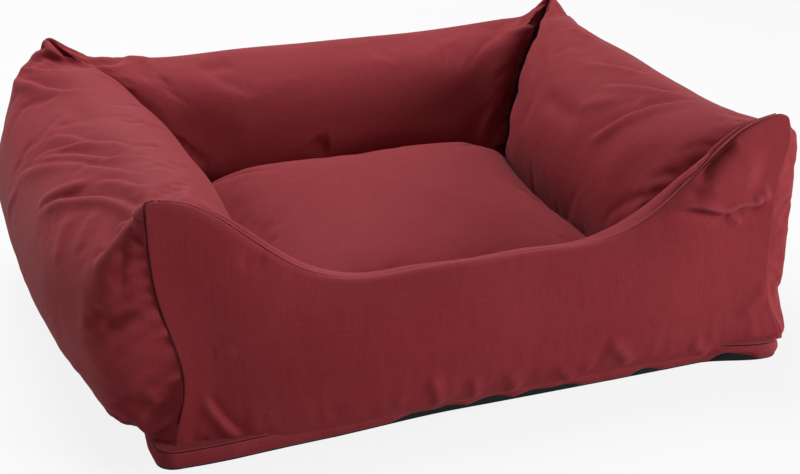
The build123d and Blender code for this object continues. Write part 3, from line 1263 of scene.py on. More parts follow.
def wall_forms() -> dict[str, WallForm]:
    """The four walls, by name.

    Returns:
        Each wall's form.
    """
    half_x, half_y = BED_LENGTH / 2, BED_DEPTH / 2
    return {
        "back": WallForm(
            "back_wall", (0, half_y), (1, 0), (0, -1), half_x, BACK_SECTION,
            CORNERS["back_left"], CORNERS["back_right"], (1, 1),
        ),
        "left": WallForm(
            "left_wall", (-half_x, 0), (0, 1), (1, 0), half_y, SIDE_SECTION,
            CORNERS["front_left"], CORNERS["back_left"], (FRONT_SLOPE, 1),
        ),
        "right": WallForm(
            "right_wall", (half_x, 0), (0, 1), (-1, 0), half_y, RIGHT_SECTION,
            CORNERS["front_right"], CORNERS["back_right"], (FRONT_SLOPE, 1),
        ),
        "front": WallForm(
            "front_wall", (0, -half_y), (1, 0), (0, 1), half_x, FRONT_SECTION,
            FRONT_CORNERS["front_left"], FRONT_CORNERS["front_right"],
            (1 / FRONT_SLOPE, 1 / FRONT_SLOPE), True,
        ),
    }


TUCK, STEP = FoldShape.TUCK, FoldShape.STEP
LEFT_FOLDS: tuple[Fold, ...] = (
    Fold(((-952, 462), (-950, 400), (-948, 330), (-952, 260)), 3, 1.1, STEP, (0.1, 0.5)),
    Fold(((387, 405), (328, 432), (220, 447), (122, 468), (73, 495)), 7, 1.2),
    Fold(((171, 395), (103, 432), (-15, 458), (-83, 484), (-171, 511), (-240, 532)), 6, 3.5, TUCK),
    Fold(((132, 347), (93, 379), (44, 405), (-5, 432), (-73, 463), (-171, 495)), 6, 4.5, TUCK),
    Fold(((113, 353), (64, 374), (-24, 405), (-152, 442), (-279, 484), (-318, 526), (-387, 553)),
          7, 5.8, TUCK),
    Fold(((201, 300), (113, 342), (-24, 379), (-191, 421), (-348, 458), (-485, 489), (-573, 516)),
          6, 4.2, TUCK),
    Fold(((-416, 432), (-456, 447), (-534, 468), (-642, 489), (-691, 516)), 5, 2.9, TUCK),
    Fold(((-201, 321), (-250, 347), (-309, 374), (-387, 411), (-436, 442)), 6, 3.2),
    Fold(((-220, 311), (-279, 342), (-367, 374), (-456, 400), (-544, 426), (-651, 447),
          (-808, 468), (-945, 489)), 6, 7.4, TUCK),
    Fold(((-789, 416), (-818, 432), (-877, 453), (-926, 468)), 4, 6.4, TUCK),
    Fold(((-936, 463), (-975, 442), (-955, 421)), 4, 1.8),
    Fold(((-642, 421), (-632, 395), (-661, 368), (-710, 342)), 7, 2),
    Fold(((-505, 389), (-514, 358), (-553, 326), (-602, 300)), 8, 1.8),
    Fold(((83, 311), (142, 274), (132, 242)), 6, 1.8),
    Fold(((-857, 421), (-867, 384), (-896, 337), (-926, 289)), 9, 1.8),
    Fold(((867, 395), (749, 421), (612, 453), (553, 479), (573, 511)), 6, 5.5, TUCK),
    Fold(((906, 432), (955, 463), (896, 489)), 8, 2),
    Fold(((-612, 200), (-867, 221), (-945, 216), (-998, 211)), 16, 2),
    Fold(((-446, 253), (-642, 258), (-867, 268), (-966, 247)), 14, -1.6),
)
BACK_FOLDS: tuple[Fold, ...] = (
    Fold(((-931, 511), (-899, 511), (-835, 500), (-779, 495)), 6, 4.8, TUCK),
    Fold(((-979, 563), (-931, 558), (-851, 542), (-779, 511)), 5, 3.8, TUCK),
    Fold(((-755, 489), (-714, 500), (-682, 516)), 7, 1.8),
    Fold(((-522, 537), (-474, 563), (-361, 547)), 9, -2),
    Fold(((-140, 755), (-110, 775), (-60, 779)), 8, -6),
    Fold(((-867, 705), (-722, 732), (-458, 747)), 22, -4),
    Fold(((-658, 805), (-201, 784), (265, 779), (939, 811)), 14, 2.6),
    Fold(((972, 616), (963, 689), (955, 753), (963, 811)), 9, -4),
    Fold(((811, 563), (915, 568), (1000, 574)), 6, 2.9, TUCK),
    Fold(((313, 600), (514, 647), (746, 663)), 20, 1.8),
)
RIGHT_FOLDS: tuple[Fold, ...] = (
    Fold(((700, 547), (661, 511), (593, 489), (416, 489)), 5, 4.2, TUCK),
    Fold(((269, 563), (132, 542), (-5, 516), (-132, 500)), 6, 4.2, TUCK),
    Fold(((-34, 595), (-171, 558), (-318, 526), (-436, 495)), 6, 4.8, TUCK),
    Fold(((-230, 700), (-338, 647), (-416, 595), (-465, 553), (-505, 511)), 7, 6.7, TUCK),
    Fold(((-15, 663), (-142, 626), (-279, 584)), 7, 2),
    Fold(((377, 668), (93, 679), (-122, 679)), 9, -2.6),
    Fold(((877, 516), (563, 547), (260, 595)), 7, 2),
    Fold(((-426, 716), (-622, 658), (-759, 600), (-857, 542)), 16, 2),
    Fold(((749, 584), (524, 684), (495, 789)), 8, -3),
)
FRONT_OUTER_FOLDS: tuple[Fold, ...] = (
    Fold(((955, 642), (915, 621), (835, 663), (771, 705), (698, 821), (650, 895), (602, 937)),
          4.2, 10, TUCK, (0.15, 0.35)),
    Fold(((700, 950), (746, 980), (795, 985), (845, 970)), 6, -6),
    Fold(((811, 684), (843, 632), (875, 589)), 4, 4.1, TUCK),
    Fold(((682, 958), (755, 884), (851, 811), (939, 758)), 16, 5),
    Fold(((907, 642), (955, 663), (972, 674)), 6, 3),
    Fold(((-939, 200), (-899, 158), (-851, 105), (-803, 63), (-763, 32)), 5, 4.8, TUCK),
    Fold(((-963, 0), (-931, 0), (-891, 0)), 5, 4.1, TUCK),
    Fold(((-746, 853), (-698, 916), (-658, 947)), 7, -1.8),
    Fold(((-875, 379), (-819, 400), (-755, 421)), 4, 0.7),
    Fold(((-185, 253), (-161, 126), (-144, 11)), 6, 2.4),
    Fold(((72, 179), (96, 63), (96, 0)), 6, 2),
    Fold(((385, 263), (458, 126), (506, 42)), 6, 2.4),
    Fold(((-48, 179), (-32, 95), (-32, 11)), 5, 1.6),
    Fold(((233, 137), (281, 53), (297, 0)), 5, 1.6),
    Fold(((706, 84), (763, 32), (795, 0)), 5, 1.6),
    Fold(((-674, 421), (-385, 547), (-88, 568), (225, 600)), 40, 2.5),
    Fold(((867, 137), (931, 158), (979, 221), (1000, 284)), 7, 1.6),
)
FRONT_INNER_FOLDS: tuple[Fold, ...] = (
    Fold(((690, 0), (746, 21), (779, 21), (795, 0)), 5, 4, TUCK),
)


@dataclass
class StuffedWall:
    """A high wall: one cover over its stuffing."""

    form: WallForm
    folds: tuple[Fold, ...] = ()
    step: float = 1.8
    seed: int = 1
    sag: float = 8.0
    rolls: Pair = (1.2, 4.0)
    cell: float = 6.0
    girth: float = 390.0
    spare: float = 0.03
    pressure: float = 3.0
    furthest: float = 6.0
    broad_turns: int = 60
    broad_share: float = 0.85
    wrinkle_share: float = 1.3
    cloth: ClothGrid | None = field(default=None, init=False)

    def puff(self, grid: ClothGrid) -> None:
        """Runs the cloth simulation on the cover, held at its seams, and keeps its wrinkles.

        Args:
            grid: The cover, whose points move.
        """
        along = np.linspace(-1, 1, int(2 * self.form.half_length / self.cell) + 1)
        around = np.linspace(0, 1, int(self.girth / self.cell) + 1)
        a, b = np.meshgrid(along, around, indexing="ij")
        points = grid.place(np.stack((a.ravel(), b.ravel()), 1)).reshape(*a.shape, 3)
        turn = 1 if self.form.outward(points) else -1
        coarse = ClothGrid(points[::turn], along, around)
        shift = cloth_puff([coarse], self.spare, self.pressure, self.furthest)[0][::turn]
        broad = shift
        for _ in range(self.broad_turns):
            broad = neighbour_mean(np.pad(broad, ((1, 1), (1, 1), (0, 0)), mode="edge"))
        moved = grid.follow(coarse, (shift - self.broad_share * broad) * self.wrinkle_share)
        log.info("%s: wrinkles up to %.1f mm", self.form.name, np.abs(moved).max())

    def build(self, canvas: Material) -> Object:
        """Makes the cover and ties it to the frame.

        Args:
            canvas: The cloth's material.

        Returns:
            The cover.
        """
        grid = self.form.grid(self.step, (-1, 1))
        ends = smooth_step((1 - np.abs(grid.along)) * self.form.half_length, 1, 16)
        hanging = np.repeat(ends[:, None], grid.points.shape[1], 1)
        grid.points = settled(sag_over_mat(grid.points, self.form, self.sag, hanging))
        self.puff(grid)
        grid.normals = grid_normals(grid.points)
        if not self.form.outward(grid.points):
            grid.normals = -grid.normals
        grid.lift += 0.7 * lumps(grid.points, 90, self.seed)
        for fold in self.folds:
            grid.press(fold)
        wavy_foot(grid, 0, 1.6, self.seed + 10)
        gather_at_seams(grid, 0.9, 16.0, self.seed + 20)
        roll_into_seams(grid, self.rolls)
        raised = grid.raised()
        raised[..., 2] = np.maximum(raised[..., 2], FOOT_LOW)
        self.cloth = ClothGrid(raised, grid.along, grid.around)
        self.cloth.normals = grid.normals
        points = raised if self.form.outward(raised) else raised[::-1]
        piece = pillow_mesh(f"{self.form.name}_cover_cloth", points)
        nodes = (f"{self.form.name}_cover", f"{self.form.name}_filling")
        dress(piece, canvas, Slot.CANVAS, BED, *nodes)
        return piece


@dataclass
class FrontWall:
    """The low front wall: two panels and the seam along their top edge."""

    form: WallForm
    outer_folds: tuple[Fold, ...] = ()
    inner_folds: tuple[Fold, ...] = ()
    step: float = 1.8
    seam_shift: float = 1.0
    sag: float = 9.0
    hang_left: Pair = (-246.0, -130.0)
    hang_right: Pair = (-248.0, -232.0)

    def panel(
        self, side: int, folds: tuple[Fold, ...], name: str, nodes: tuple[str, ...],
        canvas: Material,
    ) -> Object:
        """Makes one panel.

        Args:
            side: -1 for the outer panel, 1 for the inner one.
            folds: Its folds.
            name: Its name.
            nodes: The nodes that it stands for.
            canvas: The cloth's material.

        Returns:
            The panel.
        """
        grid = self.form.grid(self.step, (side,), self.seam_shift)
        if side < 0:
            x = grid.points[..., 0]
            hanging = smooth_step(x, *self.hang_left) * smooth_step(-x, *self.hang_right)
            grid.points = sag_over_mat(grid.points, self.form, self.sag, hanging)
        grid.points = settled(grid.points)
        grid.normals = grid_normals(grid.points)
        turn = -1 if float(np.mean(grid.normals[..., 1])) * side < 0 else 1
        grid.normals = grid.normals * turn
        grid.lift += 0.5 * lumps(grid.points, 100, 30 + side)
        for fold in folds:
            grid.press(fold)
        if side < 0:
            wavy_foot(grid, 0, 0.5, 41)
        roll_into_seams(grid, (1.0, 1.0))
        points = grid.raised()
        points[..., 2] = np.maximum(points[..., 2], FOOT_LOW if side < 0 else BASE_HEIGHT)
        piece = dress(shell_mesh(name, points[::turn], CLOTH), canvas, Slot.CANVAS, BED, *nodes)
        return piece

    def build(self, canvas: Material, seam: Material) -> None:
        """Makes both panels and the seam.

        Args:
            canvas: The cloth's material.
            seam: The seam's material.
        """
        self.panel(
            -1, self.outer_folds, "front_outer_panel_cloth",
            ("front_outer_panel", "front_wall_filling"), canvas,
        )
        self.panel(1, self.inner_folds, "front_inner_panel_cloth", ("front_inner_panel",), canvas)
        line = self.top_line()
        up = np.tile((0.0, 0.0, 1.0), (len(line), 1))
        across = np.tile((0.0, 1.0, 0.0), (len(line), 1))
        ridge = tube_mesh("front_top_seam_ridge", line, across, up, 1.2, 1.1)
        dress(ridge, seam, Slot.SEAM, BED, "front_top_seam")

    def top_line(self) -> Array:
        """Points along the top edge of the front wall, between its two panels.

        Returns:
            Rows of x, y and z.
        """
        shares = np.linspace(-0.99, 0.99, 300)
        tops = np.array([self.form.side_line(s, 1, 0, 3)[0] for s in STATIONS])
        return settled(spline_between(np.array(STATIONS, float), tops, shares))


# The base mat and the corner seams.


def recalculate(obj: Object) -> Object:
    """Turns the faces of a closed piece outwards.

    Args:
        obj: The piece.

    Returns:
        The same piece.
    """
    bench = bmesh.new()
    bench.from_mesh(obj.data)
    bmesh.ops.recalc_face_normals(bench, faces=bench.faces)
    bench.to_mesh(obj.data)
    bench.free()
    return obj


@dataclass
class BaseMat:
    """The thin mat: black anti-slip underside, red edge band and red top cloth."""

    half_x: float = 254.0
    half_y: float = 209.0
    bow: float = 4.0
    corner: float = 14.0
    front_tuck: float = 6.0
    side_tuck: float = 5.0
    corner_slip: float = 7.0
    left_slip: float = 9.0
    front_zone: Pair = (150.0, 200.0)
    tuck_zone: Pair = (-225.0, -130.0)
    slip_zone: Pair = (190.0, 238.0)
    left_zone: Pair = (20.0, 150.0)
    flank_zone: Pair = (200.0, 240.0)
    flank_start: Pair = (-195.0, -150.0)
    hem_low: float = 1.2
    hem_rises: tuple[Triple, ...] = (
        (-80.0, -2.0, 5.0),
        (-16.0, 30.0, 6.0),
        (22.0, 88.0, 5.0),
        (126.0, 156.0, 4.5),
        (200.0, 238.0, 7.5),
    )

    def outline(self, inset: float, step: float = 3.0) -> tuple[Array, Array]:
        """The mat's outline and its outward directions.

        Args:
            inset: How far inside the edge it runs.
            step: Distance between the points.

        Returns:
            Points and unit directions, both in the floor plane.
        """
        corner_x, corner_y = self.half_x - self.corner, self.half_y - self.corner
        dense = []
        for quarter in range(4):
            start = -math.pi / 2 + quarter * math.pi / 2
            sign_x = (1, 1, -1, -1)[quarter]
            sign_y = (-1, 1, 1, -1)[quarter]
            for turn in np.linspace(start, start + math.pi / 2, 12):
                x = sign_x * corner_x + (self.corner - inset) * math.cos(turn)
                dense.append((x, sign_y * corner_y + (self.corner - inset) * math.sin(turn)))
        dense.append(dense[0])
        line = even_steps(np.array(dense), int(2 * (self.half_x + self.half_y) * 2 / step))[:-1]
        x, y = line[:, 0] / self.half_x, line[:, 1] / self.half_y
        side = np.abs(x) > np.abs(y)
        line[:, 0] += np.where(side, np.sign(x) * self.bow * (1 - y**2), 0)
        line[:, 1] += np.where(side, 0, np.sign(y) * self.bow * (1 - x**2))
        near = smooth_step(-line[:, 1], *self.front_zone)
        front = near * smooth_step(line[:, 0], *self.tuck_zone)
        corner = near * smooth_step(line[:, 0], *self.slip_zone)
        line[:, 1] += self.front_tuck * (front - corner) - self.corner_slip * corner
        line[:, 0] += self.corner_slip * corner
        near = smooth_step(-line[:, 1], *self.front_zone)
        line[:, 1] -= self.left_slip * (near * smooth_step(-line[:, 0], *self.left_zone))
        flank = smooth_step(np.abs(line[:, 0]), *self.flank_zone)
        flank *= smooth_step(line[:, 1], *self.flank_start)
        line[:, 0] -= np.sign(line[:, 0]) * self.side_tuck * flank
        ahead = np.roll(line, -1, axis=0) - np.roll(line, 1, axis=0)
        out = np.stack((ahead[:, 1], -ahead[:, 0]), 1)
        return line, out / np.linalg.norm(out, axis=1, keepdims=True)

    def hem(self, line: Array) -> Array:
        """How high the black underside shows at each point of the outline.

        Args:
            line: The outline.

        Returns:
            A height for each point.
        """
        height = np.full(len(line), self.hem_low)
        front = line[:, 1] < -self.half_y + 12
        for start, end, rise in self.hem_rises:
            t = np.clip((line[:, 0] - start) / (end - start), 0, 1)
            lifted = rise * np.sin(math.pi * t) ** 0.6 * (1 + 0.16 * np.sin(line[:, 0] / 5.3))
            height = np.where(front, np.maximum(height, lifted), height)
        return np.maximum(height, self.hem_low)

    def band(self, name: str, low: Array, high: Array, puff: float, thickness: float) -> Object:
        """A soft band round the edge, between two heights.

        Args:
            name: Name of the piece.
            low: Height of its lower edge at each point of the outline.
            high: Height of its upper edge.
            puff: How far it bulges.
            thickness: Thickness of the cloth.

        Returns:
            The band.
        """
        line, out = self.outline(1.0)
        travel = travel_along(line)
        ripple = 0.5 * np.sin(travel / 7.3) + 0.4 * np.sin(travel / 4.1 + 1.0)
        shares = np.linspace(0, 1, 9)
        outer = []
        for share in shares:
            height = low + (high - low) * share
            bulge = puff * math.sin(math.pi * share) + 0.35 * ripple * math.sin(math.pi * share)
            place = line + out * bulge[:, None]
            outer.append(np.concatenate((place, height[:, None]), 1))
        inner = [np.concatenate((o[:, :2] - out * thickness, o[:, 2:]), 1) for o in outer[::-1]]
        rings = np.stack(outer + inner, 1)
        around = np.concatenate((shares * 15, 30 - shares[::-1] * 15))
        uv = np.stack(np.meshgrid(travel, around, indexing="ij"), 2)
        rows, columns = rings.shape[:2]
        r, c = np.indices((rows, columns))
        n, d = (r + 1) % rows * columns, (c + 1) % columns
        r = r * columns
        faces = np.stack((r + c, n + c, n + d, r + d), 2).reshape(-1, 4)
        return recalculate(new_object(name, rings.reshape(-1, 3), faces, uv.reshape(-1, 2)))

    def slab(self, name: str, inset: float, low: float, high: float) -> Object:
        """A sheet that fills the outline between two heights.

        Args:
            name: Name of the piece.
            inset: How far inside the mat's edge it ends.
            low: Height of its lower face.
            high: Height of its upper face.

        Returns:
            The sheet.
        """
        line, _ = self.outline(inset)
        count = len(line)
        points = np.concatenate([np.insert(line, 2, height, axis=1) for height in (low, high)])
        faces = [tuple(range(count - 1, -1, -1)), tuple(range(count, 2 * count))]
        for k in range(count):
            n = (k + 1) % count
            faces.append((k, n, n + count, k + count))
        obj = new_object(name, points, faces, points[:, :2])
        obj.data.polygons.foreach_set("use_smooth", [False] * len(obj.data.polygons))
        return obj

    def build(self, canvas: Material, underside: Material) -> None:
        """Makes the mat's pieces and ties them to the frame.

        Args:
            canvas: The red cloth's material.
            underside: The black cloth's material.
        """
        hem = self.hem(self.outline(1.0)[0])
        full = np.ones(len(hem))
        black_edge = self.band("base_underside_edge", 0.15 * full, hem, 0.5, 1.2)
        black = self.slab("base_underside_cloth", 1.4, 0.0, 1.0)
        red = self.band("base_edge_band_cloth", hem - 0.2, 13.0 * full, 2.4, 1.4)
        top = self.slab("base_top_cloth_sheet", 1.4, 13.9, 14.9)
        dress(black_edge, underside, Slot.UNDERSIDE, BED)
        dress(black, underside, Slot.UNDERSIDE, BED, "base_underside")
        dress(red, canvas, Slot.CANVAS, BED, "base_edge_band", "base_pad_core")
        dress(top, canvas, Slot.CANVAS, BED, "base_top_cloth")


@dataclass
class CornerSeams:
    """Seam allowances where two walls meet, with a folded tab at the front left."""

    recess: float = 2.6
    thickness: float = 0.9
    width: float = 12.0
    tab_along: Pair = (-0.999, -0.949)
    tab_around: Pair = (0.455, 0.494)
    tab_cells: int = 14
    tab_thickness: float = 1.5

    def strip(self, name: str, section: Section, side: int, end: int) -> Object:
        """One allowance, standing in the plane between the two walls.

        Args:
            name: Name of the corner.
            section: The pinched section there.
            side: -1 for left, 1 for right.
            end: -1 for front, 1 for back.

        Returns:
            The strip.
        """
        slope = 1.0 if end > 0 else FRONT_SLOPE
        form = WallForm(
            name, (side * BED_LENGTH / 2, 0), (0, 1), (-side, 0), BED_DEPTH / 2,
            section, section, section, (slope, slope),
        )
        lines = [form.side_line(float(end), s, 0, 60) for s in (-1, 1)]
        edge = np.concatenate((lines[0][::-1], lines[1][1:]))
        origin = np.array((side * BED_LENGTH / 2, end * BED_DEPTH / 2, 0.0))
        slant = np.array((-side, -end * slope, 0.0))
        stretch = float(np.linalg.norm(slant))
        slant /= stretch
        flat = np.stack(((edge - origin) @ slant, edge[:, 2]), 1)
        ahead = np.gradient(flat, axis=0)
        into = np.stack((ahead[:, 1], -ahead[:, 0]), 1)
        into /= np.linalg.norm(into, axis=1, keepdims=True)
        outer = flat + into * self.recess
        inner = flat + into * self.width
        inner[:, 0] = np.clip(inner[:, 0], 2, None)
        across = np.array((-slant[1], slant[0], 0.0)) * self.thickness / 2
        rings = []
        for place, shift in ((outer, -1), (outer, 1), (inner, 1), (inner, -1)):
            spots = origin + slant * place[:, :1] + np.array((0, 0, 1.0)) * place[:, 1:]
            rings.append(spots + across * shift)
        rings = settled(np.stack(rings, 1))
        rings[..., 2] = np.maximum(rings[..., 2], BASE_HEIGHT)
        rows = len(rings)
        uv = np.stack((np.repeat(np.linspace(0, 420, rows), 4), np.tile((0, 2, 12, 14), rows)), 1)
        points, faces = rings.reshape(-1, 3), tube_faces(rows, 4)
        return recalculate(new_object(f"{name}_corner_seam_strip", points, faces, uv))

    def tab(self, wall: ClothGrid) -> Object:
        """The square end of the front left seam allowance, folded out beside the seam.

        Args:
            wall: The left wall's cloth, which the tab lies on.

        Returns:
            The tab.
        """
        count = self.tab_cells
        along = np.linspace(*self.tab_along, count)
        around = np.linspace(*self.tab_around, count)
        rows = np.interp(along, wall.along, np.arange(len(wall.along)))
        columns = np.interp(around, wall.around, np.arange(len(wall.around)))
        r, c = np.meshgrid(rows.round().astype(int), columns.round().astype(int), indexing="ij")
        a, d = np.meshgrid(along, around, indexing="ij")
        points = wall.place(np.stack((a.ravel(), d.ravel()), 1)).reshape(count, count, 3)
        curl = 1.3 + 3.2 * np.linspace(0, 1, count)[:, None] ** 2 * np.linspace(0.4, 1, count)
        points = points + wall.normals[r, c] * curl[..., None]
        facing = float(np.einsum("ijk,ijk->", grid_normals(points), wall.normals[r, c]))
        points = points if facing > 0 else points[::-1]
        return shell_mesh("front_left_seam_tab", points, self.tab_thickness)

    def build(self, seam: Material, wall: ClothGrid) -> None:
        """Makes the four strips, and the tab that lies on the left wall.

        Args:
            seam: The seams' material.
            wall: The left wall's cloth.
        """
        dress(recalculate(self.tab(wall)), seam, Slot.SEAM, BED)
        for name, section in CORNERS.items():
            side = -1 if "left" in name else 1
            end = -1 if "front" in name else 1
            piece = self.strip(name, section, side, end)
            dress(piece, seam, Slot.SEAM, BED, f"{name}_corner_seam")


# The stitches, the zip and the cushion.


@dataclass
class StitchRow:
    """A row of lockstitches that follows a line on the cloth."""

    spacing: float = 3.0
    length: float = 2.3
    width: float = 0.45
    height: float = 0.3

    def tree(self, thread: Material) -> GeometryBench:
        """The tree that lays stitches along a line of edges.

        Args:
            thread: The thread's material.

        Returns:
            The tree on its bench.
        """
        bench = GeometryBench("stitch_row")
        spacing, length = bench.size("Spacing"), bench.size("Stitch Length")
        width, height = bench.size("Thread Width"), bench.size("Thread Height")
        line = bench.add("GeometryNodeMeshToCurve", {0: bench.source.outputs[0]}).outputs[0]
        spots = bench.add(
            "GeometryNodeCurveToPoints", {"Curve": line, "Length": spacing}, mode="LENGTH"
        ).outputs
        stitch = bench.add(
            "GeometryNodeMeshUVSphere", {"Segments": 8, "Rings": 5, "Radius": 1.0}
        ).outputs[0]
        stitch = bench.placed(stitch, {"Scale": bench.vector(width, height, length)})
        row = bench.repeated(
            {"Points": spots[0], "Instance": stitch, "Rotation": spots["Rotation"]}
        )
        bench.close(row, thread)
        return bench

    def sew(self, name: str, line: Array, thread: Material) -> Object:
        """Sews one row.

        Args:
            name: Name of the piece.
            line: Points along the row, in millimetres.
            thread: The thread's material.

        Returns:
            The row of stitches as one plain mesh.
        """
        mesh = bpy.data.meshes.new("stitch_line")
        edges = [(k, k + 1) for k in range(len(line) - 1)]
        mesh.from_pydata((line * MM).tolist(), edges, [])
        source = linked("stitch_line", mesh)
        sizes = {
            "Spacing": self.spacing * MM,
            "Stitch Length": self.length / 2 * MM,
            "Thread Width": self.width / 2 * MM,
            "Thread Height": self.height / 2 * MM,
        }
        piece = made_plain(name, source, self.tree(thread), sizes)
        piece.data.polygons.foreach_set("use_smooth", [True] * len(piece.data.polygons))
        return dress(piece, thread, Slot.SEAM, CUSHION)


@dataclass
class CushionZip:
    """The zip in the cushion's back edge: two woven tapes and two rows of moulded teeth."""

    pitch: float = 2.5
    tooth_width: float = 1.15
    neck_width: float = 0.8
    tooth_tip: float = 0.45
    row_gap: float = 0.7
    tooth_root: float = 2.4
    chain_edge: float = 3.2
    rib_pitch: float = 1.6
    rib_height: float = 0.08
    tape_end: float = 3.6

    def tree(self, plastic: Material) -> GeometryBench:
        """The tree that sets headed teeth along a moulded strip.

        Args:
            plastic: The teeth's material.

        Returns:
            The tree on its bench.
        """
        bench = GeometryBench("zip_teeth")
        count = bench.size("Tooth Count", "NodeSocketInt")
        pitch, width = bench.size("Tooth Pitch"), bench.size("Head Width")
        neck, reach = bench.size("Neck Width"), bench.size("Tooth Reach")
        depth, strip = bench.size("Tooth Depth"), bench.size("Strip Width")
        shank = bench.add("GeometryNodeMeshCube", {"Size": bench.vector(neck, depth, reach)})
        half = bench.times(reach, 0.5)
        shank = bench.placed(shank.outputs[0], {"Translation": bench.vector(0.0, 0.0, half)})
        radius = bench.times(width, 0.5)
        head = bench.add(
            "GeometryNodeMeshCylinder", {"Vertices": 12, "Radius": radius, "Depth": depth}
        )
        rise = bench.vector(0.0, 0.0, radius)
        head = bench.placed(
            head.outputs[0], {"Translation": rise, "Rotation": (math.pi / 2, 0.0, 0.0)}
        )
        tooth = bench.joined(shank, head)
        line = bench.add(
            "GeometryNodeMeshLine", {"Count": count, "Offset": bench.vector(pitch, 0.0, 0.0)}
        )
        run = bench.times(bench.sum_of("SUBTRACT", count, 1), pitch)
        back = bench.vector(bench.times(run, -0.5), 0.0, 0.0)
        line = bench.placed(line.outputs[0], {"Translation": back})
        row = bench.repeated({"Points": line, "Instance": tooth})
        length = bench.plus(run, bench.times(pitch, 1.4))
        bar = bench.add("GeometryNodeMeshCube", {"Size": bench.vector(length, depth, strip)})
        level = bench.plus(reach, bench.times(strip, 0.5))
        bar = bench.placed(bar.outputs[0], {"Translation": bench.vector(0.0, 0.0, level)})
        bench.close(bench.joined(row, bar), plastic)
        return bench

    def teeth(self, row: str, side: int, plastic: Material) -> Object:
        """Makes one row of teeth in its CAD node's place.

        Args:
            row: Name of the row.
            side: 1 for the upper row, -1 for the lower one.
            plastic: The teeth's material.

        Returns:
            The row.
        """
        low, high = (np.array(c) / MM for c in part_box(f"zip_teeth_{row}"))
        middle, length = (low + high) / 2, high[0] - low[0]
        count = int((length - self.pitch) / self.pitch)
        source = linked("zip_start", bpy.data.meshes.new("zip_start"))
        sizes = {
            "Tooth Count": count,
            "Tooth Pitch": self.pitch * MM,
            "Head Width": self.tooth_width * MM,
            "Neck Width": self.neck_width * MM,
            "Tooth Reach": (self.tooth_root - self.tooth_tip) * MM,
            "Tooth Depth": float(high[1] - low[1]) * MM,
            "Strip Width": (self.chain_edge - self.tooth_root) * MM,
        }
        piece = made_plain(f"zip_teeth_{row}_moulded", source, self.tree(plastic), sizes)
        spots = np.zeros(len(piece.data.vertices) * 3)
        piece.data.vertices.foreach_get("co", spots)
        spots = spots.reshape(-1, 3)
        edge = low[2] if side > 0 else high[2]
        level = (edge - side * (self.row_gap - self.tooth_tip)) * MM
        spots[:, 2] = level + side * spots[:, 2]
        if side < 0:
            spots[:, 0] = -spots[:, 0]
        shift = -self.pitch / 4 if side > 0 else self.pitch / 4
        spots[:, 0] += (middle[0] + shift) * MM
        spots[:, 1] = middle[1] * MM + spots[:, 1]
        piece.data.vertices.foreach_set("co", spots.ravel())
        piece.data.update()
        return recalculate(piece)

    def tape(self, row: str) -> Object:
        """Makes one ribbed tape in its CAD node's place.

        Args:
            row: Name of the row.

        Returns:
            The tape.
        """
        low, high = (np.array(c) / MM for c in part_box(f"zip_tape_{row}"))
        low[0], high[0] = low[0] - self.tape_end, high[0] + self.tape_end
        x = np.linspace(low[0], high[0], int((high[0] - low[0]) / 0.4) + 1)
        reach = self.chain_edge - 0.5
        below, above = (reach, 0) if row == "upper" else (0, reach)
        z = np.linspace(low[2] - below, high[2] + above, 7)
        rib = self.rib_height * (np.sin(x * 2 * math.pi / self.rib_pitch) - 1)
        points = np.stack(np.broadcast_arrays(x[:, None], high[1] + rib[:, None], z), 2)[::-1]
        return shell_mesh(f"zip_tape_{row}_woven", points, float(high[1] - low[1]))

    def build(self, plastic: Material, woven: Material) -> None:
        """Makes both tapes and both rows of teeth, and ties them to the cushion.

        Args:
            plastic: The teeth's material.
            woven: The tapes' material.
        """
        for row, side in (("upper", 1), ("lower", -1)):
            teeth = self.teeth(row, side, plastic)
            dress(teeth, plastic, Slot.PLASTIC, CUSHION, f"zip_teeth_{row}")
            dress(self.tape(row), woven, Slot.TAPE, CUSHION, f"zip_tape_{row}")


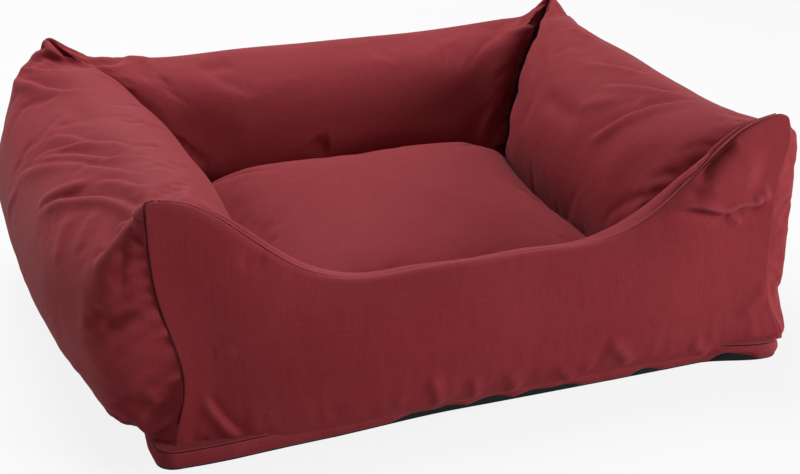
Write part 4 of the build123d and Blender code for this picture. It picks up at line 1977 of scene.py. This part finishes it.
@dataclass
class LooseCushion:
    """The crowned cushion: two panels, the seam round its edge and a hidden zip."""

    half_x: float = 154.2
    back: float = 113.2
    front: float = -160.2
    bottom: float = 15.4
    seam_height: float = 54.0
    band: float = 18.0
    crown: float = 112.0
    shoulder: float = 30.0
    draw_in: float = 4.0
    squareness: float = 15.0
    tilt: float = 12.0
    stitch_gap: float = 6.4
    first_row: float = 4.2
    fill: float = 0.8
    spare: float = 0.012
    pressure: float = 4.0
    furthest: float = 7.0
    cells: int = 56

    @property
    def middle(self) -> float:
        """Where the cushion's middle lies, from front to back."""
        return (self.front + self.back) / 2

    @property
    def half_y(self) -> float:
        """Half the cushion's depth."""
        return (self.back - self.front) / 2

    def profile(self, upper: bool) -> Array:
        """The edge's profile from the seam to the middle.

        Args:
            upper: Whether it is the top panel's.

        Returns:
            Rows of the distance inwards and the height.
        """
        reach, side = self.half_y, 1 if upper else -1
        start = self.seam_height + side * self.band / 2
        first = [(0, self.seam_height + side * gap) for gap in (0.8, 5.0)] + [(0, start)]
        if upper:
            rise = self.crown - start
            radius = reach**2 + rise**2 - 2 * reach * self.shoulder
            radius /= 2 * (rise - self.shoulder)
            joint = self.shoulder * (radius - rise) / (radius - self.shoulder)
            low = np.linspace(0, joint, 20)[1:]
            high = rise - (rise - joint) * np.linspace(1, 0, 50)[1:] ** 2
            flank = self.shoulder - np.sqrt(self.shoulder**2 - low**2)
            dome = reach - np.sqrt(np.maximum(radius**2 - (radius - rise + high) ** 2, 0))
            inset = np.concatenate((flank, dome))
            heights = start + np.concatenate((low, high))
        else:
            fall = start - self.bottom
            radius = fall / math.sin(math.radians(65))
            low = np.linspace(0, fall, 20)[1:]
            inset = radius - np.sqrt(radius**2 - low**2)
            heights = start - low
            inset, heights = np.append(inset, reach), np.append(heights, self.bottom)
        return np.concatenate((np.array(first, float), np.stack((inset, heights), 1)))

    def panel_grid(self, upper: bool, cells: int) -> ClothGrid:
        """One panel's surface.

        Args:
            upper: Whether it is the top panel.
            cells: Number of cells along each way.

        Returns:
            The grid, with shares along x and y.
        """
        curve = self.profile(upper)
        travel = travel_along(curve)
        travel /= travel[-1]
        marks = np.linspace(-1, 1, cells + 1)
        window = 1 - travel[1]
        marks[1], marks[-2] = -window, window
        a, b = np.meshgrid(marks, marks, indexing="ij")
        ring = np.maximum(np.abs(a), np.abs(b))
        inset = np.interp(1 - ring, travel, curve[:, 0])
        height = np.interp(1 - ring, travel, curve[:, 1])
        safe = np.maximum(ring, 1e-9)
        u, v = a / safe, b / safe
        power = self.squareness
        round_off = 1 / (np.abs(u) ** power + np.abs(v) ** power) ** (1 / power)
        k = 1 - inset / self.half_y
        u, v = (np.where(ring < 1e-9, 0, way * round_off * k) for way in (u, v))
        x = u * (self.half_x - self.draw_in * (1 - v**2) * k)
        front_pull = np.where(v < 0, self.draw_in / 2 * (1 - u**2) * k, 0)
        y = self.middle + v * (self.half_y - front_pull)
        if upper:
            raised = np.clip((1 - ring) / 0.12, 0, 1)
            lean = self.tilt * (v + 0.25 * (v**2 - 1))
            height = self.smoothed(height + lean * raised * raised * (3 - 2 * raised), ring)
        points = np.stack((x, y, height), 2)
        if not upper:
            points = points[:, ::-1]
        return ClothGrid(points, marks, (marks + 1) / 2)

    def smoothed(self, height: Array, ring: Array) -> Array:
        """Evens out the creases that the crown has along its diagonals.

        Args:
            height: Height of the panel at each point.
            ring: How far out each point lies, from 0 to 1.

        Returns:
            The evened heights.
        """
        share = np.clip((0.88 - ring) / 0.3, 0, 1)
        for _ in range(int(0.03 * ring.shape[0] ** 2 / 4)):
            mean = neighbour_mean(np.pad(height, 1, mode="edge"))
            height = height + share * (mean - height)
        return height

    def build(self, canvas: Material, seam: Material, thread: Material) -> None:
        """Makes the cushion's pieces and ties them to its body.

        Args:
            canvas: The cloth's material.
            seam: The seam's material.
            thread: The stitches' material.
        """
        top = self.panel_grid(True, 2 * self.cells)
        low = self.panel_grid(False, 2 * self.cells)
        self.inflate((top, low))
        top.lift += 0.9 * lumps(top.points, 120, 61) * np.clip((1 - top.ring()) / 0.2, 0, 1)
        self.pucker(top, 0.9, 62)
        self.pucker(low, 0.7, 63)
        for grid, panel, nodes in (
            (top, "cushion_top_panel", ("cushion_top_panel", "cushion_filling")),
            (low, "cushion_bottom_panel", ("cushion_bottom_panel",)),
        ):
            raised = grid.raised()
            raised[..., 2] = np.maximum(raised[..., 2], self.bottom - 0.1)
            piece = shell_mesh(f"{panel}_cloth", raised, CLOTH, self.window(raised))
            dress(piece, canvas, Slot.CANVAS, CUSHION, *nodes)
            StitchRow().sew(f"{panel}_zip_stitches", self.beside_zip(raised), thread)
        self.edge_seam(top, seam)

    def beside_zip(self, points: Array) -> Array:
        """The line on a panel that its stitching beside the zip follows.

        Args:
            points: The panel's grid.

        Returns:
            Points of the line.
        """
        back_edge = points.shape[1] - 1 if points[0, -1, 1] > points[0, 0, 1] else 0
        step = -1 if back_edge else 1
        near, far = points[:, back_edge + step], points[:, back_edge + 2 * step]
        gap = max(float(np.abs(far - near)[len(near) // 2, 2]), 0.1)
        share = (self.stitch_gap - self.first_row) / gap
        line = near + (far - near) * min(max(share, 0.0), 1.0)
        line[:, 1] += 0.12
        return line[np.abs(line[:, 0]) < ZIP_WINDOW - 1.5]

    def pucker(self, grid: ClothGrid, depth: float, seed: int) -> None:
        """Small gathers that run in from the seam.

        Args:
            grid: The panel.
            depth: Height of the gathers.
            seed: Seed of their spacing.
        """
        a, b = np.abs(grid.along)[:, None], np.abs(2 * grid.around - 1)[None]
        travel = np.where(a > b, grid.points[..., 1], grid.points[..., 0])
        wave = small_waves(travel, (17, 24, 33, 47), np.random.default_rng(seed))
        reach = np.clip((1 - grid.ring()) / 0.30, 0, 1)
        grid.lift += depth * wave * (np.sin(math.pi * reach) * np.exp(-2.2 * reach))

    def window(self, points: Array) -> Array:
        """Cells that the zip's window cuts away from a panel's back edge.

        Args:
            points: The panel's grid.

        Returns:
            True for each cell that is cut away.
        """
        rows, columns = points.shape[:2]
        mask = np.zeros((rows - 1, columns - 1), bool)
        back_edge = columns - 2 if points[0, -1, 1] > points[0, 0, 1] else 0
        x = (points[:-1, back_edge, 0] + points[1:, back_edge, 0]) / 2
        mask[np.abs(x) < ZIP_WINDOW, back_edge] = True
        return mask

    def inflate(self, grids: tuple[ClothGrid, ClothGrid]) -> None:
        """Puffs the cushion up with the cloth simulation and adds what moved to both grids.

        Args:
            grids: The top and the bottom panel.
        """
        coarse = [self.panel_grid(upper, self.cells) for upper in (True, False)]
        moved = cloth_puff(coarse, self.spare, self.pressure, self.furthest)
        for grid, source, shift in zip(grids, coarse, moved):
            resting = source.points[..., 2] < self.bottom + 0.5
            shift[..., 2] = np.where(resting, 0, shift[..., 2])
            shift *= np.clip((1 - source.ring()) / 0.06, 0, 1)[..., None]
            grid.follow(source, shift)
            grid.normals = grid_normals(grid.points)

    def edge_seam(self, top: ClothGrid, seam: Material) -> None:
        """The seam all round the cushion's edge, open at the zip.

        Args:
            top: The top panel.
            seam: The seam's material.
        """
        points = top.points[..., :2]
        sides = (points[:-1, 0], points[-1, :-1], points[:0:-1, -1], points[0, :0:-1])
        ring = np.concatenate(sides)
        corner = np.hypot(ring[:, 0] - (ZIP_WINDOW + 0.1), ring[:, 1] - self.back)
        start = int(np.argmin(corner))
        ring = np.roll(ring, -start, axis=0)
        ahead = np.roll(ring, -1, axis=0) - np.roll(ring, 1, axis=0)
        out = np.stack((ahead[:, 1], -ahead[:, 0]), 1)
        out /= np.linalg.norm(out, axis=1, keepdims=True)
        if float((out * (ring - ring.mean(0))).sum()) < 0:
            out = -out
        behind = ring[:, 1] > self.back - 8
        keep = ~((np.abs(ring[:, 0]) < ZIP_WINDOW - 0.1) & behind)
        order = np.where(keep)[0]
        gap = np.argmax(np.diff(order)) if np.diff(order).max() > 1 else len(order) - 1
        order = np.concatenate((order[gap + 1 :], order[: gap + 1]))
        line = np.concatenate((ring[order], np.full((len(order), 1), self.seam_height)), 1)
        across = np.concatenate((out[order], np.zeros((len(order), 1))), 1)
        up = np.tile((0.0, 0.0, 1.0), (len(order), 1))
        piece = recalculate(tube_mesh("cushion_edge_seam_cloth", line, across, up, 1.4, 1.0))
        dress(piece, seam, Slot.SEAM, CUSHION, "cushion_edge_seam")


def cloth_puff(
    grids: list[ClothGrid], growth: float, pressure: float, cap: float, frames: int = 20
) -> list[Array]:
    """Runs the cloth simulation on grids that are held at their edges.

    Args:
        grids: The cloth, outer faces outwards.
        growth: Spare length of the cloth, as a share.
        pressure: Pressure of the stuffing.
        cap: The furthest that a point may move, in millimetres.
        frames: Number of steps.

    Returns:
        How far each grid's points moved, in millimetres.
    """
    points = np.concatenate([g.points.reshape(-1, 3) for g in grids])
    faces, held, offset = [], [], 0
    for grid in grids:
        rows, columns = grid.points.shape[:2]
        faces += grid_faces(rows, columns, offset).tolist()
        index = offset + np.arange(rows * columns).reshape(rows, columns)
        held += np.concatenate((index[0], index[-1], index[:, 0], index[:, -1])).tolist()
        offset += rows * columns
    obj = new_object("puffing", points, faces)
    group = obj.vertex_groups.new(name="held")
    group.add(held, 1.0, "REPLACE")
    modifier = obj.modifiers.new("cloth", "CLOTH")
    settings = modifier.settings
    settings.quality = 6
    settings.tension_stiffness = 25
    settings.compression_stiffness = 25
    settings.shear_stiffness = 8
    settings.bending_stiffness = 0.8
    settings.use_pressure = True
    settings.uniform_pressure_force = pressure
    settings.shrink_min = -growth
    settings.vertex_group_mass = "held"
    settings.effector_weights.gravity = 0
    modifier.collision_settings.use_self_collision = False
    scene = bpy.context.scene
    modifier.point_cache.frame_start = 1
    modifier.point_cache.frame_end = frames
    for frame in range(1, frames + 1):
        scene.frame_set(frame)
    shown = obj.evaluated_get(bpy.context.evaluated_depsgraph_get())
    result = np.zeros(len(points) * 3)
    shown.data.vertices.foreach_get("co", result)
    bpy.data.objects.remove(obj)
    scene.frame_set(1)
    shift = result.reshape(-1, 3) / MM - points
    size = np.linalg.norm(shift, axis=1, keepdims=True)
    log.info("cloth moved %.1f mm at most, %.1f on average", size.max(), size.mean())
    shift *= np.tanh(size / cap) * cap / np.maximum(size, 1e-9)
    moved, offset = [], 0
    for grid in grids:
        count = grid.points.shape[0] * grid.points.shape[1]
        moved.append(shift[offset : offset + count].reshape(grid.points.shape))
        offset += count
    return moved


# The stage.


@dataclass
class Studio:
    """Camera, lamps and a plain white floor."""

    eye: Triple = (-0.454, -1.236, 0.622)
    azimuth: float = -20.6
    elevation: float = 23.2
    lens: float = 74.9
    world_strength: float = 0.22
    floor_half: float = 30.0
    floor_level: float = -0.0004
    floor_glow: float = 0.86
    lamps: tuple[tuple[str, Triple, float, float], ...] = (
        ("overhead", (-0.22, 0.75, 1.5), 0.9, 30.0),
        ("right_front", (1.42, -1.08, 0.43), 0.6, 29.5),
        ("left_fill", (-1.4, -0.3, 0.6), 1.0, 2.0),
    )

    def camera(self) -> Object:
        """The camera at the photograph's angle.

        Returns:
            The camera.
        """
        data = bpy.data.cameras.new("camera")
        data.lens = self.lens
        data.sensor_width = 36
        data.sensor_fit = "HORIZONTAL"
        data.clip_start = 0.05
        camera = linked("camera", data)
        camera.location = self.eye
        camera.rotation_euler = (math.radians(90 - self.elevation), 0, math.radians(self.azimuth))
        bpy.context.scene.camera = camera
        return camera

    def floor(self) -> Object:
        """A wide white floor that keeps a faint shadow.

        Returns:
            The floor.
        """
        size = self.floor_half
        mesh = bpy.data.meshes.new("floor")
        spots = ((-size, -size), (size, -size), (size, size), (-size, size))
        mesh.from_pydata([(x, y, self.floor_level) for x, y in spots], [], [(0, 1, 2, 3)])
        floor = linked("floor", mesh)
        material = bpy.data.materials.new("white_floor")
        bench = ShaderBench(material)
        share = bench.times(self.seen(bench), self.floor_glow)
        white = bench.add("ShaderNodeBsdfDiffuse", {"Color": (0.6, 0.6, 0.6, 1)})
        glow = bench.add("ShaderNodeEmission", {"Color": (1, 1, 1, 1), "Strength": 1.0})
        mix = bench.add("ShaderNodeMixShader", {0: share, 1: white.outputs[0], 2: glow.outputs[0]})
        bench.add("ShaderNodeOutputMaterial", {"Surface": mix.outputs[0]})
        mesh.materials.append(material)
        return floor

    def seen(self, bench: ShaderBench) -> Socket:
        """1 for the camera's own rays and for reflections, and 0 for light."""
        rays = bench.add("ShaderNodeLightPath").outputs
        return bench.sum_of("MAXIMUM", rays["Is Camera Ray"], rays["Is Glossy Ray"])

    def lamp(self, name: str, place: Triple, size: float, power: float) -> Object:
        """A square soft lamp that faces the bed.

        Args:
            name: Its name.
            place: Where it hangs, in metres.
            size: Length of its sides.
            power: Its power in watts.

        Returns:
            The lamp.
        """
        data = bpy.data.lights.new(name, "AREA")
        data.shape = "SQUARE"
        data.size = size
        data.energy = power
        lamp = linked(name, data)
        lamp.location = place
        aim = Vector((0, 0, 0.1)) - Vector(place)
        lamp.rotation_euler = aim.to_track_quat("-Z", "Y").to_euler()
        return lamp

    def world(self) -> None:
        """A pale world that shows pure white to the camera."""
        world = bpy.data.worlds.new("studio")
        bpy.context.scene.world = world
        bench = ShaderBench(world)
        soft = bench.add("ShaderNodeBackground", {0: (1, 0.99, 0.98, 1), 1: self.world_strength})
        white = bench.add("ShaderNodeBackground", {0: (1, 1, 1, 1), 1: 1.0})
        mix = bench.add(
            "ShaderNodeMixShader", {0: self.seen(bench), 1: soft.outputs[0], 2: white.outputs[0]}
        )
        bench.add("ShaderNodeOutputWorld", {"Surface": mix.outputs[0]})

    def build(self) -> None:
        """Sets the whole stage."""
        self.camera()
        self.floor()
        for name, place, size, power in self.lamps:
            self.lamp(name, place, size, power)
        self.world()
        bpy.context.scene.view_settings.view_transform = "Standard"


# The assembly.

RED = CanvasFinish("wine_red_canvas", (0.183, 0.0140, 0.0185), (0.26, 0.040, 0.050))
RED_SEAM = CanvasFinish("wine_red_seam", (0.17, 0.018, 0.021), (0.30, 0.05, 0.058), 0.6)
RED_TAPE = CanvasFinish(
    "wine_red_zip_tape", (0.10, 0.010, 0.012), (0.17, 0.022, 0.027), 0.5, 0.5, crumple_depth=0.1
)


def main() -> None:
    """Builds the whole scene."""
    logging.basicConfig(level=logging.INFO, format="%(name)s %(message)s")
    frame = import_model()
    Studio().build()
    canvas, seam = RED.material(), RED_SEAM.material()
    forms = wall_forms()
    back = StuffedWall(forms["back"], BACK_FOLDS, seed=3, rolls=(4.0, 8.0), wrinkle_share=1.0)
    left = StuffedWall(forms["left"], LEFT_FOLDS, seed=5)
    right = StuffedWall(forms["right"], RIGHT_FOLDS, seed=7, rolls=(1.2, 8.0), wrinkle_share=0.8)
    for wall in (back, left, right):
        wall.build(canvas)
    FrontWall(forms["front"], FRONT_OUTER_FOLDS, FRONT_INNER_FOLDS).build(canvas, seam)
    CornerSeams().build(seam, left.cloth)
    BaseMat().build(canvas, UndersideFinish().material())
    LooseCushion().build(canvas, seam, ThreadFinish().material())
    plastic = PlasticFinish().material()
    CushionZip().build(plastic, RED_TAPE.material())
    for name in ("zip_end_stops", "zip_slider"):
        node = frame["nodes"][name]
        node.data.materials.clear()
        node.data.materials.append(plastic)
        log.info("%s: kept from the frame", name)


if __name__ == "__main__":
    main()
